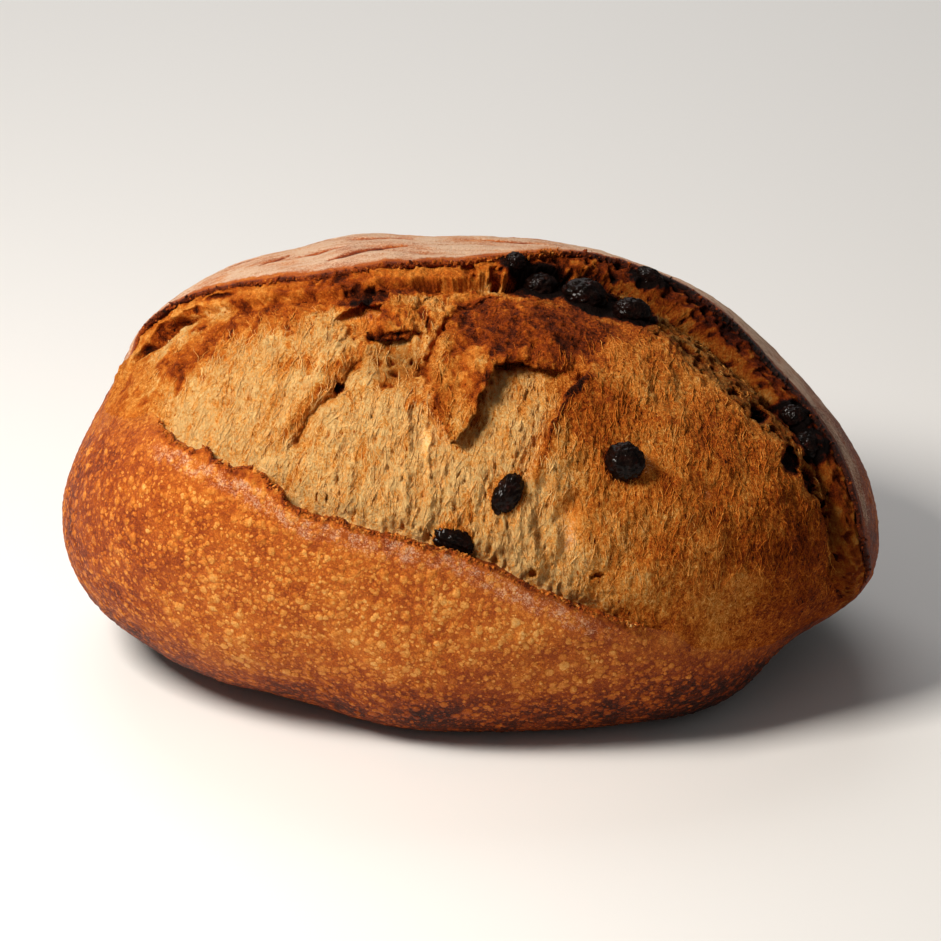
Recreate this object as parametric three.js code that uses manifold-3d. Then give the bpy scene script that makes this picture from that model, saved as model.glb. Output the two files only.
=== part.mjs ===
// An oval sourdough loaf with dark dried fruit, in millimetres. +X runs along the loaf, -Y is the
// side that burst open in the oven, +Z is up, and the origin is the middle of the flat base.
//
// The loaf is one solid. An oval dough body carries a polar grid whose two poles are the ends of
// the burst, so two of its grid lines follow the burst's edges: the lip of the lower crust and
// the ear of the upper crust. The torn flaps, furrows and hollows of the crumb are relief between
// them. Each fruit is a wrinkled oval of its own, in a socket that is cut for it.
import * as THREE from "three";
import { mergeVertices } from "three/addons/utils/BufferGeometryUtils.js";
import Module from "manifold-3d";

// ---- Driving dimensions ----
const HALF_LENGTH = 120;
const DEPTH_FRONT = 84;
const DEPTH_BACK = 86;
const RISE = 66; // from the belly, the widest level, to the crown
const SINK = 70; // how far the round body would reach below the belly without the oven floor
const BELLY_LEVEL = 48.8;
const SQUARENESS = 2.25; // 2 is an ellipsoid, and more is boxier
const FLOOR_CORNER = 16; // more makes a tighter corner where the body meets the oven floor
const FLOOR_PRESS = 1.2; // the last of the underside's curve, which the floor presses flat

const FACE_LEAN = 26; // degrees that the open face leans back from upright
const FACE_FOOT = 28.2; // from the origin down to the lowest line seen square to that face
const BURST_SLOPE = -15.4; // degrees that the burst runs downhill to the right

const GRID_COLUMNS = 80; // from one end of the burst to the other
const CRUMB_ROWS = 30; // across the burst
const CRUST_ROWS = 28; // round the rest of the loaf
// Rows crowd towards the burst's edges, by this much of an even share.
const CRUMB_CROWDING = 0.45;
const CRUST_CROWDING = 0.75;

// Where the hand-shaped dough's outline, seen square to the open face, stands above or below the
// plain oval. "toward" is a direction on that face in degrees, with 0 to the right and 90 up, and
// "spread" is in degrees too. More "hug" keeps a swell closer to the outline.
const SWELLS = [
  { toward: 20, height: -13, spread: 20, hug: 3 },
  { toward: 49, height: -4, spread: 19, hug: 3 },
  { toward: 115, height: 3, spread: 12, hug: 3 },
  { toward: 135, height: 2, spread: 9, hug: 3 },
  { toward: 166, height: -8, spread: 15, hug: 3 },
  { toward: 205, height: -3, spread: 11, hug: 3 },
  { toward: 229, height: -10, spread: 20, hug: 3 },
  { toward: 317, height: 2, spread: 12, hug: 3 },
  { toward: 335, height: -11, spread: 11, hug: 9 },
  { toward: 343, height: 6, spread: 12, hug: 9 },
];

// The burst's two edges: degrees along it from its right end, and degrees round it from the
// line that faces straight out.
const EAR_LINE = [
  [0, 8], [8, 13], [19, 24], [25, 42], [30, 56], [36, 69], [45, 79], [55, 84.5], [64, 87],
  [72, 87.5], [80, 85], [90, 78], [102, 72], [114, 67], [130, 61], [143, 60.5], [154, 66],
  [162, 77], [168, 84], [180, 95],
];
const LIP_LINE = [
  [0, -26], [10, -26], [20, -29], [37, -25.5], [48, -23], [60, -19.5], [75, -16], [86, -13.7],
  [98, -13.5], [112, -14], [119, -14], [125, -12], [134, -11], [147, -10.5], [157, -10],
  [163, -13], [169, -20], [180, -45],
];

// The ear: the upper crust's edge, which lifted as the loaf burst, with a torn band under it and
// a groove where it parted from the crumb.
const EAR = { lift: 4, crustReach: 24, band: 6, drop: 3, groove: 5, grooveReach: 9, overhang: 2.5 };
// The lip: the lower crust's edge, curled up a little over the crumb.
const LIP = { lift: 2.5, crustReach: 13, step: 1.6, groove: 3, grooveReach: 9, overhang: 2 };
const LIP_FADES = [40, 66]; // degrees along the burst between which the lip dies out to the right
const BURST_OPENS = [4, 34]; // widths of the burst between which its edges grow to full height

// The torn crumb. Places on the open face are [millimetres along, millimetres up].
// A flap is a skin raised on the left of its path, with a drop to the crumb on the right.
const FLAPS = [
  {
    name: "toasted cape with its tongue, and the long flap beside it",
    path: [
      [2, 125], [-4.5, 119.5], [-8.5, 113.5], [-10.5, 107], [-9.5, 99.5], [-8, 92.5], [-4.5, 85.5],
      [0.5, 91], [2.5, 97], [4.5, 101.5], [7, 107], [10.5, 108.5], [15.5, 107.5], [21.5, 106],
      [33, 104.5], [28, 98], [23.5, 89.5], [21, 82.5], [17, 73.5],
    ],
    rise: 5, reach: 16, drop: 3, dropReach: 7, taper: 10,
  },
  {
    name: "blistered mass above the round hollow",
    path: [
      [-39, 120], [-35, 123], [-29.5, 125.5], [-24, 124.5], [-24, 119], [-29, 115],
      [-21.5, 114.5], [-12.5, 114.5],
    ],
    rise: 4, reach: 10, drop: 3, dropReach: 6, taper: 6,
  },
];
// A furrow runs along its path, and a ridge is one with its depth below zero.
const FURROWS = [
  {
    name: "slanting tear",
    path: [[-27.5, 110.5], [-37, 100.5], [-41, 96], [-44.5, 91.5], [-48.5, 86.5], [-52, 80.5]],
    depth: 3, halfWidth: 2.5, taper: 8,
  },
  {
    name: "toasted ridge beside the ear",
    path: [
      [-85.5, 106], [-79.5, 112.5], [-72.5, 119.5], [-64, 123.5], [-57, 125], [-39.5, 128],
      [-19.5, 132], [-8, 135.5],
    ],
    depth: -3, halfWidth: 6, taper: 25,
  },
  {
    name: "crescent at the burst's left end",
    path: [[-84.5, 102], [-86.5, 97.5], [-86.5, 93.5], [-85, 89]],
    depth: 2.5, halfWidth: 2, taper: 4,
  },
  {
    name: "long hollow under the ear, where the fruit shows",
    path: [[15.5, 132.5], [22.5, 129], [32, 126], [41, 124.5], [49, 122]],
    depth: 8, halfWidth: 4.5, taper: 6,
  },
  {
    name: "soft fold on the right",
    path: [[34.5, 73.5], [29, 67], [27.5, 59], [26.5, 44]],
    depth: 1.5, halfWidth: 3, taper: 10,
  },
];
const HOLLOWS = [
  { at: [-19.5, 106.5], radii: [9, 8], turn: 0, depth: 3.5 },
  { at: [13, 100.5], radii: [8, 7], turn: 0, depth: 3 },
  { at: [-30, 119.5], radii: [8, 4.5], turn: 20, depth: 3 },
];
const FLAP_EDGE = 1.4; // a flap's edge slopes over this much to each side of its path
const CRUMB_FADE = { fromLip: [1, 7], fromEar: [4, 10] }; // where the crumb's relief fades out

// The fruit. "radii" are along, up and out of the face, "turn" is degrees on the face, and
// "proud" is how far the fruit's middle stands out of the crumb, or lies in it below zero.
const FRUIT = [
  { at: [44, 79], radii: [5.8, 5.7, 4.6], turn: 0, proud: 1 },
  { at: [11, 70], radii: [6.4, 3.9, 4], turn: 60, proud: 0.3 },
  { at: [-4.5, 57], radii: [6.8, 4.5, 4.2], turn: -25, proud: -0.8 },
  { at: [20.5, 129], radii: [5.5, 4.6, 4.8], turn: 10, proud: 0.5 },
  { at: [33.5, 126.5], radii: [6.8, 5.3, 5.5], turn: -12, proud: 0.5 },
  { at: [47, 122], radii: [5.6, 4.2, 4.4], turn: -15, proud: 0 },
  { at: [13.5, 136.5], radii: [3.2, 3, 3.2], turn: 0, proud: -0.5 },
  { at: [52.5, 132], radii: [5, 3, 3.2], turn: -30, proud: -0.8 },
  { at: [93, 92], radii: [3.8, 3.6, 3.6], turn: 0, proud: -0.5 },
  { at: [96.5, 83], radii: [4.5, 5, 4.2], turn: 0, proud: -0.5 },
];
const FRUIT_DETAIL = 2;
const WRINKLE = { depth: 0.09, round: 7, across: 6, slant: 5 }; // depth is a share of the radius
const SOCKET_GAP = 0.45; // wide enough that a facet never touches its neighbour

const radians = THREE.MathUtils.degToRad;
const smoothstep = (low, high, x) => THREE.MathUtils.smoothstep(x, low, high);

const RIGHT = new THREE.Vector3(1, 0, 0);
const FACE_UP = new THREE.Vector3(0, Math.sin(radians(FACE_LEAN)), Math.cos(radians(FACE_LEAN)));
const FACE_OUT = new THREE.Vector3().crossVectors(RIGHT, FACE_UP);
const BODY_CENTRE = new THREE.Vector3(0, 0, BELLY_LEVEL);

// A direction on the open face, turned anticlockwise from "right".
function faceDirection(degrees) {
  const angle = radians(degrees);
  return RIGHT.clone().multiplyScalar(Math.cos(angle)).addScaledVector(FACE_UP, Math.sin(angle));
}

const BURST_AXIS = faceDirection(BURST_SLOPE);
const BURST_UP = faceDirection(BURST_SLOPE + 90);

// A smooth curve through knots [x, y], read at x.
function through(knots, x) {
  let i = 0;
  while (i < knots.length - 2 && x > knots[i + 1][0]) i++;
  const slope = (k) => {
    const before = knots[Math.max(k - 1, 0)];
    const after = knots[Math.min(k + 1, knots.length - 1)];
    return (after[1] - before[1]) / (after[0] - before[0]);
  };
  const [x0, y0] = knots[i];
  const [x1, y1] = knots[i + 1];
  const span = x1 - x0;
  const t = THREE.MathUtils.clamp((x - x0) / span, 0, 1);
  const early = t * (1 - t) ** 2 * span * slope(i);
  const late = t ** 2 * (t - 1) * span * slope(i + 1);
  return y0 + (y1 - y0) * t * t * (3 - 2 * t) + early + late;
}

// ---- The dough body ----
const swellCentres = SWELLS.map((swell) => faceDirection(swell.toward));

function bodyPoint(direction) {
  const term = (value, size) => Math.abs(value / size) ** SQUARENESS;
  const sum =
    term(direction.x, HALF_LENGTH) +
    term(direction.y, direction.y < 0 ? DEPTH_FRONT : DEPTH_BACK) +
    term(direction.z, direction.z < 0 ? SINK : RISE);
  let radius = sum ** (-1 / SQUARENESS);
  const flat = Math.max(Math.hypot(direction.x, direction.dot(FACE_UP)), 1e-6);
  SWELLS.forEach(({ height, spread, hug }, i) => {
    const sharpness = 1 - Math.cos(radians(spread));
    const nearness = direction.dot(swellCentres[i]) / flat;
    radius += height * flat ** hug * Math.exp((nearness - 1) / sharpness);
  });
  const toFloor = (BELLY_LEVEL + FLOOR_PRESS) / Math.max(-direction.z, 1e-3);
  radius = (radius ** -FLOOR_CORNER + toFloor ** -FLOOR_CORNER) ** (-1 / FLOOR_CORNER);
  return BODY_CENTRE.clone().addScaledVector(direction, radius);
}

function burstDirection(along, round) {
  const across = FACE_OUT.clone().multiplyScalar(Math.cos(round));
  across.addScaledVector(BURST_UP, Math.sin(round));
  return BURST_AXIS.clone().multiplyScalar(Math.cos(along)).addScaledVector(across, Math.sin(along));
}

// ---- Relief of the burst's edges ----
// Height out of the body, and slide up it, at a distance up the body from the ear's edge.
function earRelief(distance) {
  const { lift, crustReach, band, drop, groove, grooveReach, overhang } = EAR;
  const halfWay = band / 2;
  const aboveGroove = smoothstep(-band - halfWay, -band, distance);
  const crust = lift * Math.exp(-Math.max(distance, 0) / crustReach);
  const torn = (drop * THREE.MathUtils.clamp(distance, -band, 0)) / band;
  const hollow = groove * Math.exp(Math.min(distance + band + halfWay, 0) / grooveReach);
  const fold = Math.exp(-Math.max(distance, 0) / band);
  return {
    height: (crust + torn) * aboveGroove - hollow * (1 - aboveGroove),
    slide: -overhang * aboveGroove * fold,
  };
}

// The same at a distance up the body from the lip's edge.
function lipRelief(distance) {
  const { lift, crustReach, step, groove, grooveReach, overhang } = LIP;
  const belowEdge = 1 - smoothstep(0, step, distance);
  const crust = lift * Math.exp(Math.min(distance, 0) / crustReach);
  const hollow = groove * Math.exp(-Math.max(distance - step, 0) / grooveReach);
  const fold = Math.exp(Math.min(distance, 0) / (2 * step));
  return {
    height: crust * belowEdge - hollow * (1 - belowEdge),
    slide: overhang * belowEdge * fold,
  };
}

// ---- Relief of the torn crumb ----
// How far a place on the face is from a path, on which side, and how far along from both ends.
function track(path, [along, up]) {
  let nearest = { distance: Infinity, square: 0 };
  let walked = 0;
  for (let i = 0; i < path.length - 1; i++) {
    const [x0, y0] = path[i];
    const [dx, dy] = [path[i + 1][0] - x0, path[i + 1][1] - y0];
    const length = Math.hypot(dx, dy);
    const [px, py] = [along - x0, up - y0];
    const t = THREE.MathUtils.clamp((px * dx + py * dy) / length ** 2, 0, 1);
    const distance = Math.hypot(px - t * dx, py - t * dy);
    const square = Math.abs(dx * py - dy * px) / length;
    const tie = Math.abs(distance - nearest.distance) < 1e-6;
    if (tie ? square > nearest.square : distance < nearest.distance) {
      const side = dx * py - dy * px < 0 ? -distance : distance;
      nearest = { distance, square, side, start: walked + t * length };
    }
    walked += length;
  }
  return { ...nearest, end: walked - nearest.start };
}

const fadeIn = ({ start, end }, taper) => smoothstep(0, taper, start) * smoothstep(0, taper, end);

function flapRelief({ path, rise, reach, drop, dropReach, taper }, place) {
  const near = track(path, place);
  const above = smoothstep(-FLAP_EDGE, FLAP_EDGE, near.side);
  const high = rise * Math.exp(-Math.max(near.side, 0) / reach);
  const low = drop * Math.exp(Math.min(near.side, 0) / dropReach);
  return fadeIn(near, taper) * (high * above - low * (1 - above));
}

function furrowRelief({ path, depth, halfWidth, taper }, place) {
  const near = track(path, place);
  return -depth * fadeIn(near, taper) * Math.exp(-((near.distance / halfWidth) ** 2));
}

function hollowRelief({ at, radii, turn, depth }, [along, up]) {
  const [dx, dy] = [along - at[0], up - at[1]];
  const [cos, sin] = [Math.cos(radians(turn)), Math.sin(radians(turn))];
  const across = ((dx * cos + dy * sin) / radii[0]) ** 2 + ((dy * cos - dx * sin) / radii[1]) ** 2;
  return -depth * Math.exp(-(across ** 2));
}

function crumbRelief(place) {
  const total = (features, relief) => features.reduce((sum, item) => sum + relief(item, place), 0);
  return total(FLAPS, flapRelief) + total(FURROWS, furrowRelief) + total(HOLLOWS, hollowRelief);
}

const placeOnFace = (point) => [point.x, point.dot(FACE_UP) + FACE_FOOT];

function loafPoint(alongDegrees, round) {
  const along = radians(alongDegrees);
  const direction = burstDirection(along, round);
  const point = bodyPoint(direction);
  const place = placeOnFace(point);
  const ring = point.distanceTo(BODY_CENTRE) * Math.sin(along);
  const ear = radians(through(EAR_LINE, alongDegrees));
  const lip = radians(through(LIP_LINE, alongDegrees));
  const fromEar = ring * (round - ear);
  const fromLip = ring * (round - lip - (round > ear ? 2 * Math.PI : 0));
  const opened = smoothstep(...BURST_OPENS, ring * (ear - lip));
  const lipped = opened * smoothstep(...LIP_FADES, alongDegrees);
  const earPart = earRelief(fromEar);
  const lipPart = lipRelief(fromLip);
  const upward = burstDirection(along, round + Math.PI / 2);
  upward.addScaledVector(BURST_AXIS, -upward.dot(BURST_AXIS)).normalize();
  point.addScaledVector(direction, earPart.height * opened + lipPart.height * lipped);
  point.addScaledVector(upward, earPart.slide * opened + lipPart.slide * lipped);
  if (fromEar < 0) {
    const inside = smoothstep(...CRUMB_FADE.fromLip, fromLip);
    const below = smoothstep(...CRUMB_FADE.fromEar, -fromEar);
    point.addScaledVector(FACE_OUT, crumbRelief(place) * inside * below);
  }
  point.z = Math.max(point.z, 0);
  return point;
}

// ---- The grid ----
const crowd = (share, strength) => share - (strength * Math.sin(2 * Math.PI * share)) / (2 * Math.PI);

function rowAngle(alongDegrees, row) {
  const ear = radians(through(EAR_LINE, alongDegrees));
  const lip = radians(through(LIP_LINE, alongDegrees));
  if (row <= CRUMB_ROWS) return lip + (ear - lip) * crowd(row / CRUMB_ROWS, CRUMB_CROWDING);
  const share = crowd((row - CRUMB_ROWS) / CRUST_ROWS, CRUST_CROWDING);
  return ear + (lip + 2 * Math.PI - ear) * share;
}

function loafGeometry() {
  const rows = CRUMB_ROWS + CRUST_ROWS;
  const geometry = new THREE.SphereGeometry(1, rows, GRID_COLUMNS);
  const position = geometry.getAttribute("position");
  for (let column = 0; column <= GRID_COLUMNS; column++) {
    const alongDegrees = 180 - (180 * column) / GRID_COLUMNS; // from the left, so faces point out
    for (let row = 0; row <= rows; row++) {
      const point = loafPoint(alongDegrees, rowAngle(alongDegrees, row % rows));
      position.setXYZ(column * (rows + 1) + row, point.x, point.y, point.z);
    }
  }
  return geometry;
}

// ---- Fruit ----
// The dough's outermost point at a place on the open face.
function surfaceAt([along, up], doughMesh) {
  const origin = RIGHT.clone().multiplyScalar(along).addScaledVector(FACE_UP, up - FACE_FOOT);
  origin.addScaledVector(FACE_OUT, 2 * HALF_LENGTH);
  const ray = new THREE.Raycaster(origin, FACE_OUT.clone().negate());
  return ray.intersectObject(doughMesh)[0].point;
}

// A wrinkled oval; "grown" makes it that much larger all round and smooth, to cut its socket.
function fruitGeometry({ at, radii, turn, proud }, surface, grown) {
  const geometry = new THREE.IcosahedronGeometry(1, FRUIT_DETAIL);
  const position = geometry.getAttribute("position");
  const point = new THREE.Vector3();
  for (let i = 0; i < position.count; i++) {
    point.fromBufferAttribute(position, i);
    const round = Math.sin(WRINKLE.round * point.x + at[0]);
    const across = Math.sin(WRINKLE.across * point.y + WRINKLE.slant * point.z + at[1]);
    const shrink = grown > 0 ? 1 : 1 - WRINKLE.depth * (round * across) ** 2;
    position.setXYZ(i, point.x * shrink, point.y * shrink, point.z * shrink);
  }
  geometry.scale(radii[0] + grown, radii[1] + grown, radii[2] + grown);
  geometry.rotateZ(radians(turn));
  const centre = surface.clone().addScaledVector(FACE_OUT, proud);
  const placed = new THREE.Matrix4().makeBasis(RIGHT, FACE_UP, FACE_OUT).setPosition(centre);
  return geometry.applyMatrix4(placed);
}

// ---- Solids ----
const wasm = await Module();
wasm.setup();

function welded(geometry) {
  geometry.deleteAttribute("normal");
  geometry.deleteAttribute("uv");
  return mergeVertices(geometry, 1e-3);
}

function solidFrom(geometry) {
  const merged = welded(geometry);
  const vertProperties = merged.getAttribute("position").array;
  const triVerts = new Uint32Array(merged.index.array);
  return new wasm.Manifold(new wasm.Mesh({ numProp: 3, vertProperties, triVerts }));
}

function geometryFrom(solid) {
  const { vertProperties, triVerts } = solid.getMesh();
  const geometry = new THREE.BufferGeometry();
  geometry.setAttribute("position", new THREE.BufferAttribute(vertProperties, 3));
  geometry.setIndex(new THREE.BufferAttribute(triVerts, 1));
  return geometry;
}

// A sliver between a socket and the surface can come loose, so only the loaf itself is kept.
const largest = (solids) => solids.reduce((a, b) => (b.volume() > a.volume() ? b : a));

const crust = new THREE.MeshStandardMaterial({ color: 0xa8622c, roughness: 0.7, metalness: 0 });
const driedFruit = new THREE.MeshStandardMaterial({ color: 0x1c1413, roughness: 0.55, metalness: 0 });

const part = new THREE.Group();

function addPiece(name, geometry, material) {
  const mesh = new THREE.Mesh(geometry, material);
  mesh.name = name;
  part.add(mesh);
}

const wholeDough = new THREE.Mesh(loafGeometry(), crust);
let dough = solidFrom(wholeDough.geometry);
FRUIT.forEach((fruit, i) => {
  const surface = surfaceAt(fruit.at, wholeDough);
  dough = dough.subtract(solidFrom(fruitGeometry(fruit, surface, SOCKET_GAP)));
  addPiece(`raisin_${i + 1}`, welded(fruitGeometry(fruit, surface, 0)), driedFruit);
});
addPiece("loaf", geometryFrom(largest(dough.decompose())), crust);

// The swells leave the box a little off centre, so the whole part is moved back over the origin.
const middle = new THREE.Box3().setFromObject(part).getCenter(new THREE.Vector3());
part.position.set(-middle.x, -middle.y, 0);

export default part;
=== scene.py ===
# A baked sourdough loaf with dark dried fruit, in the CAD part's frame: +X along the loaf, -Y the
# side that burst open in the oven, +Z up. Shapes are worked out in millimetres, and meshes are
# stored in metres.
#
# The bread is four closed pieces that meet in the middle of the loaf, as an orange's segments do:
# the upper crust with the ear, the lower crust with the lip, and between them the torn crumb, in a
# right and a left half. Flakes of crust stand on the torn edges and strands of crumb on the torn
# face, where the dried fruit is pressed in.
import itertools
import math
from types import SimpleNamespace

import bmesh
import bpy
import numpy as np
from mathutils import Matrix, Vector


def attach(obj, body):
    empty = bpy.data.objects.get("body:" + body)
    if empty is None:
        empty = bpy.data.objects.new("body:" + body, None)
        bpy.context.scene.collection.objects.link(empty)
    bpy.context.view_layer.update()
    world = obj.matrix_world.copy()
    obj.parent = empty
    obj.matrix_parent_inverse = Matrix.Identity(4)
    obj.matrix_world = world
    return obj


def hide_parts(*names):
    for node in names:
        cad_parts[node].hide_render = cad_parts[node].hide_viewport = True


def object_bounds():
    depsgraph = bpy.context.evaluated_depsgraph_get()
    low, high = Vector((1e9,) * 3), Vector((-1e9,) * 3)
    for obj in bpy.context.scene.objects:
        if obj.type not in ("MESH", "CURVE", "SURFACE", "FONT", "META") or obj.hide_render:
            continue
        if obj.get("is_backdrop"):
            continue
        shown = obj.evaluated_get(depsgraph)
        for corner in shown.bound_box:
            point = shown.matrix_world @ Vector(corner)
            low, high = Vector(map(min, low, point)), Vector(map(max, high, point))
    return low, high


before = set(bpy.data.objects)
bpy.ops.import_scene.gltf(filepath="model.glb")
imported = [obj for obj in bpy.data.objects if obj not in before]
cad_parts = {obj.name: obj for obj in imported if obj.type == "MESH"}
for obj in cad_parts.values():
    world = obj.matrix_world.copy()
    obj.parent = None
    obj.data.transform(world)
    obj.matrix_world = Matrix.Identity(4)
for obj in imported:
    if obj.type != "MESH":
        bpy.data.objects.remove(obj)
cad_low, cad_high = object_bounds()

# ==== The dough ====
# The baker's hand-shaped oval of dough. It stood on the oven floor and burst along its front, so
# every piece of the bread lies on this one form, which has the CAD solid's dimensions.
MM = 0.001
HALF_LENGTH = 120
DEPTH_FRONT = 84
DEPTH_BACK = 86
RISE = 66  # from the belly, the widest level, to the crown
SINK = 70  # how far the round body would reach below the belly without the oven floor
BELLY_LEVEL = 48.8
SQUARENESS = 2.25  # 2 is an ellipsoid, and more is boxier
FLOOR_CORNER = 16
FLOOR_PRESS = 1.2
FACE_LEAN = 26  # degrees that the open face leans back from upright
FACE_FOOT = 28.2  # from the origin down to the lowest line seen square to that face
BURST_SLOPE = -15.4  # degrees that the burst runs downhill to the right
SKIN_ROOM = 0.35  # the smooth skin lies this far inside the solid, to leave room for its relief

# Swells of the outline on the open face: direction in degrees, height, spread in degrees, hug.
SWELLS = (
    (20, -13, 20, 3),
    (49, -4, 19, 3),
    (115, 3, 12, 3),
    (135, 2, 9, 3),
    (166, -8, 15, 3),
    (205, -3, 11, 3),
    (229, -10, 20, 3),
    (317, 2, 12, 3),
    (335, -11, 11, 9),
    (343, 6, 12, 9),
)
# The burst's two edges: degrees along it from its right end, and degrees round it from the line
# that faces straight out.
EAR_LINE = (
    (0, 8), (8, 13), (19, 24), (25, 42), (30, 56), (36, 69), (45, 79), (55, 84.5), (64, 87),
    (72, 87.5), (80, 85), (90, 78), (102, 72), (114, 67), (130, 61), (143, 60.5), (154, 66),
    (162, 77), (168, 84), (180, 95),
)
LIP_LINE = (
    (0, -26), (10, -26), (20, -29), (37, -25.5), (48, -23), (60, -19.5), (75, -16), (86, -13.7),
    (98, -13.5), (112, -14), (119, -14), (125, -12), (134, -11), (147, -10.5), (157, -10),
    (163, -13), (169, -20), (180, -45),
)
BURST_OPENS = (4, 34)  # widths of the burst between which its edges grow to full height
ENDS_CLOSE = 14  # degrees along the burst over which its edges sink in at either end
LIP_FADES_RIGHT = (40, 66)  # degrees along the burst
LIP_FADES_LEFT = (144, 161)
BASE_TURN = math.radians(-116)  # the middle of the flat base, where the two crusts meet

RIGHT = np.array([1.0, 0.0, 0.0])
FACE_UP = np.array([0.0, math.sin(math.radians(FACE_LEAN)), math.cos(math.radians(FACE_LEAN))])
FACE_OUT = np.cross(RIGHT, FACE_UP)
BODY_CENTRE = np.array([0.0, 0.0, BELLY_LEVEL])


def face_direction(degrees):
    """A direction on the open face, turned anticlockwise from "right"."""
    angle = math.radians(degrees)
    return RIGHT * math.cos(angle) + FACE_UP * math.sin(angle)


BURST_AXIS = face_direction(BURST_SLOPE)
BURST_UP = face_direction(BURST_SLOPE + 90)


def smoothstep(low, high, value):
    share = np.clip((value - low) / (high - low), 0, 1)
    return share * share * (3 - 2 * share)


def between(limits, share):
    return limits[0] + (limits[1] - limits[0]) * share


def through(knots, value):
    """A smooth curve through knots (x, y), read at each value of x."""
    x, y = np.array(knots, float).T
    after = np.minimum(np.arange(len(x)) + 1, len(x) - 1)
    before = np.maximum(np.arange(len(x)) - 1, 0)
    slope = (y[after] - y[before]) / (x[after] - x[before])
    i = np.clip(np.searchsorted(x, value) - 1, 0, len(x) - 2)
    span = x[i + 1] - x[i]
    t = np.clip((value - x[i]) / span, 0, 1)
    bend = t * (1 - t) ** 2 * span * slope[i] + t * t * (t - 1) * span * slope[i + 1]
    return y[i] + (y[i + 1] - y[i]) * t * t * (3 - 2 * t) + bend


def across_burst(turn):
    return np.cos(turn)[:, None] * FACE_OUT + np.sin(turn)[:, None] * BURST_UP


def body_points(direction):
    x, y, z = direction.T
    oval = np.abs(x / HALF_LENGTH) ** SQUARENESS
    oval += np.abs(y / np.where(y < 0, DEPTH_FRONT, DEPTH_BACK)) ** SQUARENESS
    oval += np.abs(z / np.where(z < 0, SINK, RISE)) ** SQUARENESS
    radius = oval ** (-1 / SQUARENESS)
    flat = np.maximum(np.hypot(x, direction @ FACE_UP), 1e-6)
    for toward, height, spread, hug in SWELLS:
        nearness = direction @ face_direction(toward) / flat
        sharpness = 1 - math.cos(math.radians(spread))
        radius += height * flat**hug * np.exp((nearness - 1) / sharpness)
    to_floor = (BELLY_LEVEL + FLOOR_PRESS) / np.maximum(-z, 1e-3)
    radius = (radius**-FLOOR_CORNER + to_floor**-FLOOR_CORNER) ** (-1 / FLOOR_CORNER)
    return BODY_CENTRE + direction * (radius - SKIN_ROOM)[:, None]


LATTICE_SIZE = 64  # cells before the noise repeats
lattice = np.random.default_rng(11).normal(size=(LATTICE_SIZE,) * 3 + (3,))
lattice /= np.linalg.norm(lattice, axis=-1, keepdims=True)
# Noise is read on turned axes, so that its lattice never lines up with the loaf.
NOISE_AXES = np.array(Matrix.Rotation(0.9, 3, Vector((1, 2, 3))).to_3x3())


def noise(points, size, seed=0):
    """Smooth noise, about -1 to 1, with lumps about that many millimetres apart."""
    place = points @ NOISE_AXES / size + 19.7 * seed
    cell = np.floor(place).astype(int)
    part = place - cell
    eased = part**3 * (part * (part * 6 - 15) + 10)
    total = np.zeros(len(place))
    for corner in itertools.product((0, 1), repeat=3):
        index = (cell + corner) % LATTICE_SIZE
        slope = lattice[index[:, 0], index[:, 1], index[:, 2]]
        weight = np.where(corner, eased, 1 - eased).prod(axis=1)
        total += weight * (slope * (part - corner)).sum(axis=1)
    return 1.5 * total


def layered_noise(points, size, layers, seed=0):
    """Noise with finer and finer noise on top, each layer half the size and strength."""
    total = sum(noise(points, size / 2**i, seed + i) / 2**i for i in range(layers))
    return total / 1.5


def shifts(points, size, seeds):
    """A noise for each seed, as the coordinates of a shift."""
    return np.stack([noise(points, size, seed) for seed in seeds], axis=1)


def domes(points, spacing, seed, smallest=0.15, largest=0.55):
    """Round domes of mixed size, one in each cell of that many millimetres: 1 on a dome's top."""
    place = points @ NOISE_AXES / spacing + 7.3 * seed
    # The nearest eight cells, as no dome reaches further.
    cell = np.floor(place - 0.5).astype(int)
    highest = np.zeros(len(place))
    for step in itertools.product((0, 1), repeat=3):
        index = (cell + step) % LATTICE_SIZE
        random = lattice[index[:, 0], index[:, 1], index[:, 2]] / 2 + 0.5
        middle = cell + step + 0.2 + 0.6 * random
        radius = smallest + (largest - smallest) * (random[:, 0] * 7.3 % 1) ** 2
        reach = ((place - middle) ** 2).sum(axis=1) / radius**2
        highest = np.maximum(highest, 1 - reach)
    return highest


EDGE_STEP = 2.1  # millimetres that a degree along the burst's edges is worth, roughly


def raggedness(along, size, seed):
    """How far the torn edge of a crust strays from its line."""
    places = np.stack([along * EDGE_STEP, 0 * along, 0 * along], axis=1)
    coarse = 0.5 * noise(places, 14, seed) + 0.24 * noise(places, 6, seed + 1)
    notches = 0.3 * np.abs(noise(places, 3.4, seed + 2))
    notches = notches + 0.3 * np.abs(noise(places, 1.3, seed + 3))
    return size * (coarse + 0.2 - notches)


EAR_RAGGED, EAR_SEED = 1.9, 31
LIP_RAGGED, LIP_SEED = 1.6, 41


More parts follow.
